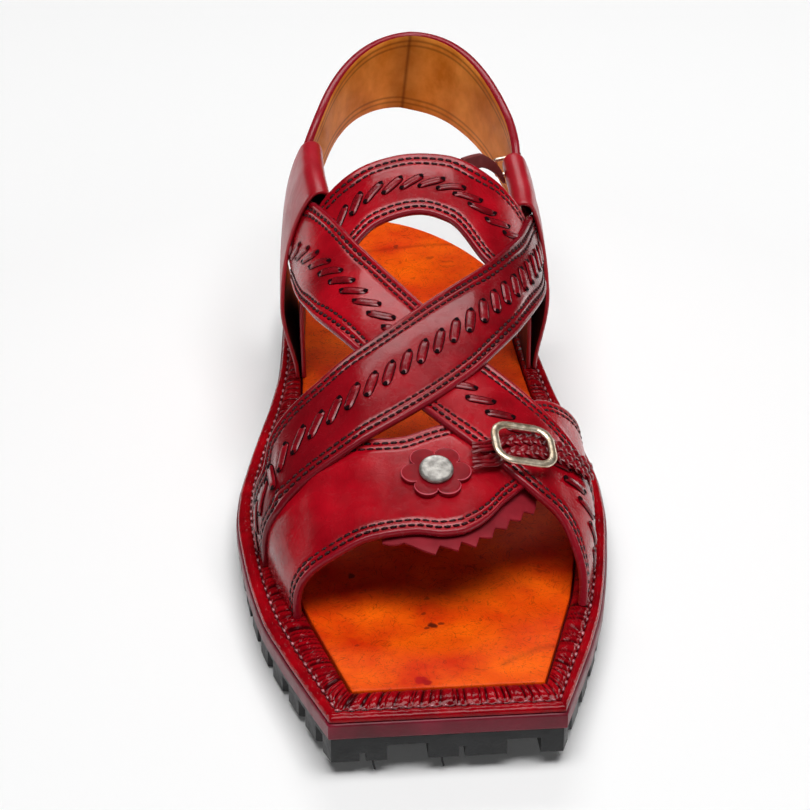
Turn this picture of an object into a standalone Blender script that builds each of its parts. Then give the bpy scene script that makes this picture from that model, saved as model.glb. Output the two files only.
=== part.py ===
"""Left leather sandal with crossing straps, a squared toe and a tyre-tread sole.

Lengths in the tables are millimetres in the shoe's own frame: x runs from the inner to the outer side, y
from the toe at the front (negative) to the heel, z up from the floor.
"""
import math
from collections import namedtuple

import bmesh
import bpy
import numpy as np
from mathutils import Matrix, Vector

MM = 0.001

# Driving sizes
RUBBER = 7.8
MIDSOLE = 5.3
DECK = 2.8
GAP = 0.3
TOE_SPRING = 5.0
SPRING_START = -62.0
HEEL_RISE = 2.0
HEEL_START = 78.0
HEEL_END = 144.0
HEEL_APEX = -2.0
STRAP = 2.4
OVERLAP = 0.8
LOOP_WALL = 1.5
LOOP_ROOM = 4.6
HEEL_BAND = 2.8

# Outline of the sole, one row for each section from the toe edge to the heel
SoleRow = namedtuple("SoleRow", "y inner outer")
SOLE = [
    SoleRow(-140.0, -32.8, 31.0),
    SoleRow(-119.0, -39.7, 38.4),
    SoleRow(-106.0, -43.9, 42.9),
    SoleRow(-87.0, -49.4, 48.4),
    SoleRow(-59.0, -53.5, 53.6),
    SoleRow(-38.0, -54.9, 56.0),
    SoleRow(-25.0, -54.0, 56.3),
    SoleRow(-8.0, -50.9, 54.6),
    SoleRow(10.0, -46.9, 51.9),
    SoleRow(28.0, -42.6, 49.4),
    SoleRow(48.0, -39.0, 47.4),
    SoleRow(78.0, -36.6, 44.0),
]
HEEL_ROUND = {-1: 1.9, 1: 1.65}

# Footbed outline, out to the sole's edge behind the last row
INSOLE = [
    SoleRow(-128.0, -25.7, 26.2),
    SoleRow(-86.0, -36.6, 38.8),
    SoleRow(-58.0, -41.0, 43.6),
    SoleRow(-30.0, -42.0, 45.6),
    SoleRow(0.0, -37.6, 43.4),
    SoleRow(28.0, -32.2, 40.2),
    SoleRow(60.0, -31.0, 38.6),
    SoleRow(84.0, -31.0, 38.0),
]
FOOTBED_HEEL = 92.0
FOOTBED_INSET = 1.2

# The last: half widths at the footbed, swell of the side, ridge height, squareness of the crown
LastRow = namedtuple("LastRow", "y inner outer swell ridge crown")
LAST = [
    LastRow(-142.0, -24.0, 25.0, 0.0, 10.0, 0.86),
    LastRow(-94.0, -36.5, 38.0, 0.5, 23.0, 0.86),
    LastRow(-57.0, -44.5, 45.5, 1.5, 34.0, 0.84),
    LastRow(-32.0, -46.0, 47.0, 2.0, 41.0, 0.80),
    LastRow(-12.0, -42.0, 46.0, 2.0, 47.0, 0.76),
    LastRow(12.0, -35.5, 43.5, 1.5, 53.0, 0.72),
    LastRow(38.0, -30.5, 41.2, 1.0, 63.0, 0.66),
    LastRow(60.0, -29.8, 41.0, 0.5, 70.0, 0.57),
    LastRow(90.0, -28.0, 41.0, 0.0, 71.0, 0.54),
    LastRow(142.0, -25.0, 39.0, 0.0, 72.0, 0.54),
]

# Straps on the last: girth runs from -1 at the inner edge over 0 at the ridge to 1 at the outer edge
StrapRow = namedtuple("StrapRow", "girth front rear lift")
TOE_BAND = [
    StrapRow(-1.00, -91.0, -48.0, 0.0),
    StrapRow(-0.80, -89.8, -48.0, 0.0),
    StrapRow(-0.60, -90.0, -48.0, 0.0),
    StrapRow(-0.35, -88.4, -52.0, 0.0),
    StrapRow(-0.12, -88.6, -54.5, 0.0),
    StrapRow(0.03, -90.0, -51.5, 0.0),
    StrapRow(0.13, -89.3, -49.2, 0.0),
    StrapRow(0.20, -87.3, -46.0, 0.0),
    StrapRow(0.27, -83.7, -43.0, 0.0),
    StrapRow(0.36, -76.2, -40.0, 0.0),
    StrapRow(0.53, -66.0, -32.0, 0.0),
    StrapRow(0.75, -66.0, -26.5, 0.0),
    StrapRow(1.00, -65.0, -22.0, 0.0),
]
UNDER = STRAP - OVERLAP
OVER = 2.0 * UNDER
LOOP_LIFT = 1.8
LOOP_OVER = LOOP_LIFT + UNDER
CROSS_B = [
    StrapRow(-0.57, 35.0, 65.0, LOOP_OVER),
    StrapRow(-0.45, 8.5, 61.0, LOOP_OVER),
    StrapRow(-0.38, -4.5, 52.5, LOOP_OVER - 0.1),
    StrapRow(-0.21, -25.9, 20.2, LOOP_LIFT + 0.9),
    StrapRow(0.00, -46.5, -4.6, UNDER),
    StrapRow(0.15, -57.0, -18.0, UNDER),
    StrapRow(0.26, -63.1, -27.3, UNDER),
    StrapRow(0.47, -72.5, -38.0, UNDER),
    StrapRow(0.63, -77.2, -44.0, UNDER),
    StrapRow(0.80, -85.5, -50.0, UNDER),
    StrapRow(1.00, -91.0, -58.0, UNDER),
]
CROSS_A = [
    StrapRow(-1.00, -64.0, -44.0, UNDER),
    StrapRow(-0.73, -64.3, -45.0, UNDER),
    StrapRow(-0.64, -63.2, -36.5, UNDER),
    StrapRow(-0.55, -61.8, -32.7, UNDER),
    StrapRow(-0.40, -59.2, -28.7, UNDER + 0.3),
    StrapRow(-0.23, -55.2, -22.0, OVER),
    StrapRow(0.00, -46.3, -8.2, OVER),
    StrapRow(0.20, -34.0, 7.7, OVER + 0.2),
    StrapRow(0.35, -16.1, 28.7, LOOP_OVER),
    StrapRow(0.47, 6.4, 52.0, LOOP_OVER),
    StrapRow(0.57, 28.0, 65.0, LOOP_OVER),
]
INSTEP = [
    StrapRow(-0.50, 26.0, 44.5, LOOP_LIFT),
    StrapRow(-0.42, 19.0, 45.0, LOOP_LIFT),
    StrapRow(-0.33, 17.0, 47.0, LOOP_LIFT),
    StrapRow(-0.27, 20.0, 48.1, LOOP_LIFT),
    StrapRow(-0.15, 27.6, 50.7, LOOP_LIFT),
    StrapRow(0.00, 30.4, 52.8, LOOP_LIFT),
    StrapRow(0.11, 27.5, 52.0, LOOP_LIFT),
    StrapRow(0.27, 13.5, 48.2, LOOP_LIFT),
    StrapRow(0.35, 12.5, 47.5, LOOP_LIFT),
    StrapRow(0.42, 16.0, 48.0, LOOP_LIFT),
    StrapRow(0.50, 26.0, 45.0, LOOP_LIFT),
]
UNDERLAY_THICK = 1.2
UNDERLAY_LIFT = -UNDERLAY_THICK - 0.4
UNDERLAY = [
    StrapRow(-0.30, -89.0, -74.0, UNDERLAY_LIFT),
    StrapRow(-0.18, -93.0, -76.0, UNDERLAY_LIFT),
    StrapRow(-0.05, -95.0, -76.0, UNDERLAY_LIFT),
    StrapRow(0.18, -93.0, -74.0, UNDERLAY_LIFT),
    StrapRow(0.35, -86.0, -66.0, UNDERLAY_LIFT),
    StrapRow(0.52, -76.0, -60.0, UNDERLAY_LIFT),
]
PINK_TEETH = 7.1
PINK_CROWD = 1.8
PINK_DEPTH = 3.0
PINK_RISER = 0.2
BRAID_THICK = 2.4
BRAID = [
    StrapRow(0.182, -68.5, -60.6, 4.3),
    StrapRow(0.210, -68.0, -60.2, 4.4),
    StrapRow(0.26, -67.0, -59.0, 4.4),
    StrapRow(0.36, -63.5, -55.5, 4.4),
    StrapRow(0.50, -60.0, -52.0, 4.4),
    StrapRow(0.62, -58.5, -50.5, 4.4),
    StrapRow(0.74, -57.0, -49.0, 4.4),
]

# Loops at the waist and the band round the heel
LOOP_FRONT = 38.0
LOOP_LEAN = {-1: 10.0, 1: 12.0}
LOOP_REAR = {-1: 78.0, 1: 72.0}
LoopTop = namedtuple("LoopTop", "front rear")
LOOP_TOP = {-1: LoopTop(0.345, 0.36), 1: LoopTop(0.445, 0.395)}
BAND_MID_X = 8.2
BAND_HALF = 34.2
BAND_SKEW = 3.0
BAND_ARC_START = 78.0
BAND_BACK = 138.0
BAND_ROUND = 1.7
BAND_START = 66.0
BAND_HALF_HEIGHT = 12.9
BAND_LOW_MID = 64.0
BAND_HIGH_MID = 80.2
BandRow = namedtuple("BandRow", "u drop")
BAND_LOW_EDGE = [
    BandRow(0.20, -4.6),
    BandRow(0.30, -3.8),
    BandRow(0.36, -1.9),
    BandRow(0.42, 0.4),
    BandRow(0.48, 1.9),
    BandRow(0.55, 3.0),
    BandRow(0.62, 2.7),
    BandRow(0.70, 1.1),
    BandRow(0.80, 0.0),
]
BAND_GIRTH_TOP = 0.42
BAND_GIRTH_LOW = 0.66

# Loose end of the heel strap: from the foot's side of the outer loop in over the footbed
TAIL_THICK = 1.6
TAIL_X = (21.7, 34.0)
TAIL_Y = (60.0, 69.0)
TAIL_Z = (78.6, 83.2)
TAIL_SAG = 3.0
TAIL_GIRTH = (0.44, 0.395)
TAIL_BUCKLE_U = 0.783
TAIL_BUCKLE_V = (0.68, 0.93)
TAIL_BUCKLE_REACH = 4.6
TAIL_BUCKLE_WIRE = 0.7

# Ornament: flower and stud on the toe band, frame on the braid
FLOWER_GIRTH = 0.02
FLOWER_Y = -69.5
FLOWER_RADIUS = 9.7
FLOWER_THICK = 1.6
FLOWER_LIFT = STRAP + GAP
STUD_RADIUS = 4.9
STUD_HEIGHT = 2.2
BUCKLE_GIRTH = 0.385
BUCKLE_Y = -60.5
BUCKLE_LENGTH = 17.5
BUCKLE_WIDTH = 13.0
BUCKLE_CORNER = 4.0
BUCKLE_WIRE = 1.0
BUCKLE_TURN = 8.0
BUCKLE_LIFT = 8.3

# Tyre tread: two long grooves, shoulder notches and the slits of the toe lugs
TREAD_PITCH = 12.5
NOTCH_WIDTH = 4.4
NOTCH_LENGTH = 11.0
NOTCH_DEPTH = 5.6
NOTCH_TURN = 14.0
GrooveRow = namedtuple("GrooveRow", "x width depth")
GROOVES = [GrooveRow(-11.6, 11.0, 5.0), GrooveRow(19.6, 9.0, 5.0)]
SLITS = [GrooveRow(-23.6, 1.6, 2.6), GrooveRow(3.0, 1.6, 3.4)]
SLIT_RUN = 9.0
RUBBER_INSET = 1.0

Finish = namedtuple("Finish", "color roughness metallic")
FINISHES = {
    "tyre_rubber": Finish((0.028, 0.029, 0.031), 0.80, 0.0),
    "burgundy_leather": Finish((0.155, 0.006, 0.018), 0.45, 0.0),
    "ruched_leather": Finish((0.330, 0.004, 0.012), 0.25, 0.0),
    "orange_leather": Finish((0.800, 0.150, 0.008), 0.50, 0.0),
    "strap_leather": Finish((0.270, 0.006, 0.015), 0.32, 0.0),
    "dull_burgundy_leather": Finish((0.190, 0.012, 0.022), 0.60, 0.0),
    "dark_strap_leather": Finish((0.075, 0.008, 0.012), 0.50, 0.0),
    "silver_metal": Finish((0.720, 0.690, 0.650), 0.32, 1.0),
}


def smooth(rows, column):
    """A curve through one column of a table against its first column, with no overshoot."""
    xs = np.array([row[0] for row in rows])
    ys = np.array([getattr(row, column) for row in rows])
    steps = np.diff(xs)
    slopes = np.diff(ys) / steps
    tangents = np.zeros_like(ys)
    tangents[0], tangents[-1] = slopes[0], slopes[-1]
    for k in range(1, len(ys) - 1):
        before, after = slopes[k - 1], slopes[k]
        if before * after > 0.0:
            tangents[k] = 2.0 * before * after / (before + after)

    def curve(x):
        x = min(max(x, xs[0]), xs[-1])
        k = min(max(int(np.searchsorted(xs, x)) - 1, 0), len(steps) - 1)
        t = (x - xs[k]) / steps[k]
        rise = (1.0 + 2.0 * t) * (1.0 - t) ** 2 * ys[k] + t * t * (3.0 - 2.0 * t) * ys[k + 1]
        bend = t * (1.0 - t) ** 2 * tangents[k] + t * t * (t - 1.0) * tangents[k + 1]
        return float(rise + steps[k] * bend)

    return curve


def ease(low, high, x):
    """Smooth step from 0 at low to 1 at high."""
    t = min(max((x - low) / (high - low), 0.0), 1.0)
    return t * t * (3.0 - 2.0 * t)


def mix(a, b, t):
    return a + (b - a) * t


sole_edge = {-1: smooth(SOLE, "inner"), 1: smooth(SOLE, "outer")}
footbed_edge = {-1: smooth(INSOLE, "inner"), 1: smooth(INSOLE, "outer")}
band_drop = smooth(BAND_LOW_EDGE, "drop")
last_curve = {name: smooth(LAST, name) for name in LastRow._fields[1:]}


def spring(y):
    """Lift of the sole's underside toward the toe."""
    return TOE_SPRING * (max(SPRING_START - y, 0.0) / (SPRING_START - SOLE[0].y)) ** 2


def rise(y):
    """Wedge of the rubber toward the heel."""
    return HEEL_RISE * ease(-20.0, 130.0, y)


def deck_level(y):
    """Height of the footbed's top."""
    return RUBBER + GAP + MIDSOLE + GAP + DECK + spring(y) + rise(y)


def edge_x(y, side):
    """The sole's edge at a section, on the inner (-1) or outer (1) side."""
    if y <= HEEL_START:
        return sole_edge[side](y)
    power = HEEL_ROUND[side]
    along = min((y - HEEL_START) / (HEEL_END - HEEL_START), 1.0)
    width = sole_edge[side](HEEL_START) - HEEL_APEX
    return HEEL_APEX + width * (1.0 - along ** power) ** (1.0 / power)


def heel_arc(side, count):
    """Points of the heel from the end of the side to the apex."""
    power = HEEL_ROUND[side]
    width = sole_edge[side](HEEL_START) - HEEL_APEX
    points = []
    for k in range(1, count + 1):
        turn = 0.5 * math.pi * k / count
        x = HEEL_APEX + width * max(math.cos(turn), 0.0) ** (2.0 / power)
        y = HEEL_START + (HEEL_END - HEEL_START) * math.sin(turn) ** (2.0 / power)
        points.append((x, y))
    return points


def side_points(edge, start, stop, step):
    count = max(int(round(abs(stop - start) / step)), 1)
    return [(edge(mix(start, stop, k / count)), mix(start, stop, k / count)) for k in range(count + 1)]


def inset_loop(points, inset):
    """A closed loop, counterclockwise, moved inward along its own normals."""
    moved = []
    for k, here in enumerate(points):
        before = Vector(points[k - 1])
        after = Vector(points[(k + 1) % len(points)])
        here = Vector(here)
        first = (here - before).normalized()
        second = (after - here).normalized()
        normal = Vector((-first.y - second.y, first.x + second.x)).normalized()
        reach = inset / max(normal.dot(Vector((-first.y, first.x))), 0.5)
        moved.append(tuple(here + normal * reach))
    return moved


def sole_loop(inset):
    """Outline of the sole, counterclockwise from the inner toe corner."""
    outer = side_points(lambda y: sole_edge[1](y), SOLE[0].y, HEEL_START, 9.0)
    inner = side_points(lambda y: sole_edge[-1](y), HEEL_START, SOLE[0].y, 9.0)
    loop = outer + heel_arc(1, 11) + heel_arc(-1, 11)[-2::-1] + inner
    return inset_loop(loop, inset)


def footbed_loop():
    """Outline of the footbed: six-sided toe, the welt's inner edge at the sides, the sole's edge at the heel."""
    heel = [p for p in sole_loop(FOOTBED_INSET) if p[1] > FOOTBED_HEEL]
    outer = side_points(footbed_edge[1], INSOLE[0].y, INSOLE[1].y, 45.0)
    outer += side_points(footbed_edge[1], INSOLE[1].y, INSOLE[-1].y, 10.0)[1:]
    inner = side_points(footbed_edge[-1], INSOLE[-1].y, INSOLE[1].y, 10.0)
    inner += side_points(footbed_edge[-1], INSOLE[1].y, INSOLE[0].y, 45.0)[1:]
    return outer + heel + inner


outline_points = np.array(sole_loop(0.0))
CENTRE = Vector((*((outline_points.min(axis=0) + outline_points.max(axis=0)) / 2.0), 0.0))


def world(point):
    """From the shoe's millimetres to metres about the middle of the sole's outline."""
    return (Vector(point) - CENTRE) * MM


def last_section(y, count=61):
    """Girth and points of the last across one section."""
    inner, outer = last_curve["inner"](y), last_curve["outer"](y)
    crown = last_curve["crown"](y)
    turn = np.linspace(-0.5, 0.5, count) * math.pi
    across = np.sign(turn) * np.abs(np.sin(turn)) ** crown
    up = np.clip(np.cos(turn), 0.0, 1.0) ** crown
    reach = 0.5 * (outer - inner) + last_curve["swell"](y) * np.sin(math.pi * up) ** 2
    x = 0.5 * (outer + inner) + reach * across
    z = deck_level(y) + GAP + last_curve["ridge"](y) * up
    length = np.concatenate([[0.0], np.cumsum(np.hypot(np.diff(x), np.diff(z)))])
    top = length[count // 2]
    girth = np.where(length < top, (length - top) / top, (length - top) / (length[-1] - top))
    return girth, x, z, 0.5 * length[-1]


def on_last(y, girth):
    table, x, z, _ = last_section(y)
    return Vector((float(np.interp(girth, table, x)), y, float(np.interp(girth, table, z))))


def half_girth(y):
    return last_section(y)[3]


def off_last(y, girth, lift):
    """A point on the last moved out along its normal, never under the footbed's top."""
    step = 0.02
    low, high = max(girth - step, -1.0), min(girth + step, 1.0)
    along = on_last(y + 1.0, girth) - on_last(y - 1.0, girth)
    across = on_last(y, high) - on_last(y, low)
    normal = along.cross(across).normalized()
    if normal.dot(Vector((girth, 0.0, 1.0 - abs(girth)))) < 0.0:
        normal.negate()
    if abs(girth) > 0.9:
        flat = Vector((normal.x, normal.y, 0.0)).normalized()
        normal = normal.lerp(flat, (abs(girth) - 0.9) / 0.1).normalized()
    point = on_last(y, girth) + normal * lift
    point.z = max(point.z, deck_level(point.y) + GAP)
    return point


def principled(name):
    finish = FINISHES[name]
    material = bpy.data.materials.new(name)
    material.use_nodes = True
    shader = next(n for n in material.node_tree.nodes if n.type == "BSDF_PRINCIPLED")
    shader.inputs["Base Color"].default_value = (*finish.color, 1.0)
    shader.inputs["Roughness"].default_value = finish.roughness
    shader.inputs["Metallic"].default_value = finish.metallic
    material.diffuse_color = (*finish.color, 1.0)
    return material


def add_object(name, bm, material, collection):
    """An object in the collection, from a bmesh in the shoe's millimetres."""
    for vert in bm.verts:
        vert.co = world(vert.co)
    bmesh.ops.recalc_face_normals(bm, faces=bm.faces)
    mesh = bpy.data.meshes.new(name)
    bm.to_mesh(mesh)
    bm.free()
    obj = bpy.data.objects.new(name, mesh)
    if material:
        mesh.materials.append(material)
    collection.objects.link(obj)
    return obj


def as_cutter(obj):
    obj.hide_render = True
    obj.display_type = "WIRE"
    return obj


def boolean(obj, other, operation):
    modifier = obj.modifiers.new(operation.lower(), "BOOLEAN")
    modifier.operation = operation
    modifier.solver = "EXACT"
    modifier.object = other


def solidify(obj, thickness, offset):
    modifier = obj.modifiers.new("wall", "SOLIDIFY")
    modifier.thickness = thickness * MM
    modifier.offset = offset
    modifier.use_even_offset = True
    modifier.use_quality_normals = True


def soften(obj, width, segments):
    modifier = obj.modifiers.new("soft edge", "BEVEL")
    modifier.width = width * MM
    modifier.segments = segments
    modifier.limit_method = "ANGLE"
    modifier.angle_limit = math.radians(50.0)


def freeze(obj):
    """Put the result of the modifiers in the object's own mesh."""
    depsgraph = bpy.context.evaluated_depsgraph_get()
    mesh = bpy.data.meshes.new_from_object(obj.evaluated_get(depsgraph))
    obj.modifiers.clear()
    obj.data = mesh
    return obj


def sheet(columns, rows, place):
    """An open grid carried by a function of its two shares, u along and v across."""
    bm = bmesh.new()
    bmesh.ops.create_grid(bm, x_segments=columns, y_segments=rows, size=0.5)
    for vert in bm.verts:
        vert.co = place(vert.co.x + 0.5, vert.co.y + 0.5)
    return bm


def slab(loop, low, high):
    """A flat board with the given outline."""
    bm = bmesh.new()
    face = bm.faces.new([bm.verts.new((x, y, low)) for x, y in loop])
    top = bmesh.ops.extrude_face_region(bm, geom=[face])
    raised = [v for v in top["geom"] if isinstance(v, bmesh.types.BMVert)]
    bmesh.ops.translate(bm, verts=raised, vec=(0.0, 0.0, high - low))
    return bm


def bend(bm, lift):
    """Cut a board across at stations and lift each station."""
    stations = [SPRING_START - 9.0 * k for k in range(9)] + [-20.0 + 25.0 * k for k in range(7)]
    for y in stations:
        geometry = bm.verts[:] + bm.edges[:] + bm.faces[:]
        bmesh.ops.bisect_plane(bm, geom=geometry, plane_co=(0.0, y, 0.0), plane_no=(0.0, 1.0, 0.0))
    for vert in bm.verts:
        vert.co.z += lift(vert.co)


def tread_cutter(collection):
    """Long grooves, shoulder notches and toe slits, as one set of boxes."""
    bm = bmesh.new()

    def box(middle, size, turn=0.0):
        place = Matrix.Translation(middle) @ Matrix.Rotation(turn, 4, "Z") @ Matrix.Diagonal((*size, 1.0))
        bmesh.ops.create_cube(bm, size=1.0, matrix=place)

    for groove in GROOVES:
        box((groove.x, 0.0, groove.depth / 2 - 2.0), (groove.width, 320.0, groove.depth + 4.0))
    for slit in SLITS:
        middle = (slit.x, SOLE[0].y + SLIT_RUN / 2 - 2.0, slit.depth / 2 - 2.0)
        box(middle, (slit.width, SLIT_RUN + 4.0, slit.depth + 4.0))
    limits = {-1: GROOVES[0].x - GROOVES[0].width / 2, 1: GROOVES[1].x + GROOVES[1].width / 2}
    for side in (-1, 1):
        for k in range(21):
            y = SOLE[0].y + 9.0 + TREAD_PITCH * k
            room = side * (edge_x(y, side) - limits[side]) - 3.5
            length = min(NOTCH_LENGTH, room)
            if length > 4.0:
                middle = (edge_x(y, side) - side * (length / 2 - 3.0), y, NOTCH_DEPTH / 2 - 2.0)
                size = (length + 6.0, NOTCH_WIDTH, NOTCH_DEPTH + 4.0)
                box(middle, size, side * math.radians(NOTCH_TURN))
    return as_cutter(add_object("tread_cutter", bm, None, collection))


def build_outsole(parts, cutters):
    bm = slab(sole_loop(RUBBER_INSET), 0.0, RUBBER)
    obj = add_object("outsole", bm, principled("tyre_rubber"), parts)
    boolean(obj, tread_cutter(cutters), "DIFFERENCE")
    freeze(obj)
    bm = bmesh.new()
    bm.from_mesh(obj.data)
    for vert in bm.verts:
        vert.co = vert.co / MM + CENTRE
    bend(bm, lambda p: spring(p.y) + rise(p.y) * p.z / RUBBER)
    for vert in bm.verts:
        vert.co = world(vert.co)
    bm.to_mesh(obj.data)
    bm.free()


def build_board(name, finish, loop, low, high, collection, bevel):
    bm = slab(loop, low, high)
    bend(bm, lambda p: spring(p.y) + rise(p.y))
    obj = add_object(name, bm, principled(finish), collection)
    soften(obj, bevel, 1)


def build_welt(parts):
    """Strip between the sole's edge and the footbed, from one loop round the toe to the other."""
    end = INSOLE[-1].y - 6.0
    corner = SOLE[0]
    front = INSOLE[0]
    low = RUBBER + GAP + MIDSOLE + GAP

    def rails(share):
        """Outer and inner rail of the strip at a share of its run."""
        if 0.42 <= share <= 0.58:
            t = (share - 0.42) / 0.16
            outer = Vector((mix(corner.inner + 0.5, corner.outer - 0.5, t), corner.y + 0.6, 0.0))
            inner = Vector((mix(front.inner - GAP, front.outer + GAP, t), front.y - GAP, 0.0))
            return outer, inner
        side = -1 if share < 0.5 else 1
        t = share / 0.42 if side < 0 else (1.0 - share) / 0.42
        y_out = mix(end, corner.y + 0.6, t)
        y_in = mix(end, front.y - GAP, t)
        outer = Vector((sole_edge[side](y_out) - side * 0.6, y_out, 0.0))
        inner = Vector((footbed_edge[side](y_in) + side * 2.0 * GAP, y_in, 0.0))
        return outer, inner

    def place(u, v):
        outer, inner = rails(u)
        point = outer.lerp(inner, v)
        point.z = low + spring(point.y) + rise(point.y)
        return point

    obj = add_object("welt", sheet(50, 1, place), principled("ruched_leather"), parts)
    solidify(obj, DECK, 1.0 if obj.data.polygons[0].normal.z > 0.0 else -1.0)
    soften(obj, 0.8, 1)


def strap_sheet(rows, columns, across, edge=None):
    """Grid of a strap on the last, from a table of its two edges and its lift."""
    front, rear, lift = (smooth(rows, name) for name in StrapRow._fields[1:])

    def place(u, v):
        girth = mix(rows[0].girth, rows[-1].girth, u)
        start = front(girth) + (edge(u) if edge else 0.0)
        return off_last(mix(start, rear(girth), v), girth, lift(girth))

    return sheet(columns, across, place)


def strap_object(name, rows, thickness, columns, across, material, collection, edge=None):
    obj = add_object(name, strap_sheet(rows, columns, across, edge), material, collection)
    up = sum(p.normal.z for p in obj.data.polygons)
    solidify(obj, thickness, 1.0 if up > 0.0 else -1.0)
    return obj


def build_upper(parts, cutters):
    """Toe band, crossing straps and instep strap, joined where they lie on each other."""
    leather = principled("strap_leather")
    upper = strap_object("upper", TOE_BAND, STRAP, 30, 6, leather, parts)
    for name, rows in (("strap_b", CROSS_B), ("instep_strap", INSTEP), ("strap_a", CROSS_A)):
        other = as_cutter(strap_object(name, rows, STRAP, 30, 5, leather, cutters))
        boolean(upper, other, "UNION")


def pinked(share):
    """Saw teeth of the underlay's front edge, closer together toward the outer side."""
    phase = (PINK_TEETH * share ** PINK_CROWD) % 1.0
    if phase < PINK_RISER:
        return PINK_DEPTH * phase / PINK_RISER
    return PINK_DEPTH * (1.0 - phase) / (1.0 - PINK_RISER)


def build_loop(name, side, parts):
    """A leather strip up from the sole, folded over at the top and down again outside."""
    inner = LOOP_WALL / 2
    outer = LOOP_WALL * 1.5 + LOOP_ROOM
    radius = (outer - inner) / 2

    def place(u, v):
        top = mix(LOOP_TOP[side].front, LOOP_TOP[side].rear, v)
        girth, lift = top, outer
        if u < 0.44:
            girth, lift = mix(1.0, top, u / 0.44), inner
        elif u > 0.56:
            girth = mix(top, 1.0, (u - 0.56) / 0.44)
            lift = mix(outer, LOOP_WALL * 1.5 + 0.4, ease(0.72, 1.0, girth))
        front = LOOP_FRONT + LOOP_LEAN[side] * (1.0 - ease(top, 1.0, girth))
        y = mix(front, LOOP_REAR[side], v)
        if 0.44 <= u <= 0.56:
            turn = math.pi * (u - 0.44) / 0.12
            girth -= radius * math.sin(turn) / half_girth(y)
            lift = inner + radius * (1.0 - math.cos(turn))
        return off_last(y, side * girth, lift)

    obj = add_object(name, sheet(32, 5, place), principled("strap_leather"), parts)
    solidify(obj, LOOP_WALL, 0.0)


def band_point(u, v, lift=0.0):
    """Middle surface of the heel band: u from the inner loop round the heel, v from low to high."""
    leg = 0.2
    middle = LOOP_WALL + LOOP_ROOM / 2
    if leg <= u <= 1.0 - leg:
        turn = math.pi * (1.0 - (u - leg) / (1.0 - 2.0 * leg))
        cos, sin = math.cos(turn), max(math.sin(turn), 0.0)
        across = math.copysign(abs(cos) ** (2.0 / BAND_ROUND), cos)
        plan = Vector((BAND_MID_X + BAND_HALF * across + BAND_SKEW * sin * sin * v, 0.0, 0.0))
        plan.y = BAND_ARC_START + (BAND_BACK - BAND_ARC_START) * sin ** (2.0 / BAND_ROUND)
        out = Vector((across / BAND_HALF, sin / (BAND_BACK - BAND_ARC_START), 0.0)).normalized()
    else:
        side = -1.0 if u < 0.5 else 1.0
        t = u / leg if u < 0.5 else (1.0 - u) / leg
        plan = Vector((BAND_MID_X + side * BAND_HALF, mix(BAND_START, BAND_ARC_START, t), 0.0))
        out = Vector((side, 0.0, 0.0))
    side = -1 if u < 0.5 else 1
    share = ease(BAND_ARC_START - 4.0, BAND_BACK, plan.y)
    plan.z = mix(BAND_LOW_MID, BAND_HIGH_MID, share) + BAND_HALF_HEIGHT * (2.0 * v - 1.0)
    plan.z -= band_drop(u) * (1.0 - v)
    free = plan + out * lift
    held_y = min(plan.y, 104.0)
    held = off_last(held_y, side * mix(BAND_GIRTH_LOW, BAND_GIRTH_TOP, v), middle + lift)
    return held.lerp(free, ease(LOOP_REAR[side], LOOP_REAR[side] + 24.0, plan.y))


def build_heel_band(parts):
    obj = add_object("heel_strap", sheet(44, 4, band_point), principled("strap_leather"), parts)
    solidify(obj, HEEL_BAND, 0.0)


def local_frame(y, girth, lift):
    """Point of the last's surface with its own axes: across the foot, toward the heel, out."""
    middle = off_last(y, girth, lift)
    along = off_last(y + 2.0, girth, lift) - off_last(y - 2.0, girth, lift)
    across = off_last(y, girth + 0.03, lift) - off_last(y, girth - 0.03, lift)
    normal = across.cross(along).normalized()
    along = normal.cross(across.normalized())
    across = along.cross(normal)
    return Matrix((across, along, normal)).transposed().to_4x4(), middle


def build_flower(parts):
    """Six round petals that follow the toe band, with a domed stud in the middle."""
    size = half_girth(FLOWER_Y)

    def place(u, v):
        turn = 2.0 * math.pi * u
        radius = FLOWER_RADIUS * (0.74 + 0.26 * abs(math.cos(3.0 * turn)) ** 0.6)
        reach = radius * v
        girth = FLOWER_GIRTH + reach * math.cos(turn) / size
        return off_last(FLOWER_Y + reach * math.sin(turn) * 0.94, girth, FLOWER_LIFT)

    bm = sheet(48, 3, place)
    bmesh.ops.remove_doubles(bm, verts=bm.verts, dist=0.01)
    obj = add_object("flower", bm, principled("strap_leather"), parts)
    up = sum(p.normal.z for p in obj.data.polygons)
    solidify(obj, FLOWER_THICK, 1.0 if up > 0.0 else -1.0)
    turn, middle = local_frame(FLOWER_Y, FLOWER_GIRTH, FLOWER_LIFT + FLOWER_THICK + GAP + 0.9)
    bm = bmesh.new()
    bmesh.ops.create_uvsphere(bm, u_segments=20, v_segments=8, radius=1.0)
    scale = Matrix.Diagonal((STUD_RADIUS, STUD_RADIUS, STUD_HEIGHT / 2, 1.0))
    bmesh.ops.transform(bm, matrix=Matrix.Translation(middle) @ turn @ scale, verts=bm.verts)
    add_object("stud", bm, principled("silver_metal"), parts)


def rounded_frame(length, width, corner, steps):
    """Middle line of a frame with round corners, in its own plane."""
    points = []
    centres = ((1, 1, 0.0), (-1, 1, 0.5), (-1, -1, 1.0), (1, -1, 1.5))
    for across, along, start in centres:
        for k in range(steps + 1):
            turn = math.pi * (start + 0.5 * k / steps)
            x = across * (length / 2 - corner) + corner * math.cos(turn)
            y = along * (width / 2 - corner) + corner * math.sin(turn)
            points.append((x, y))
    return points


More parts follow.
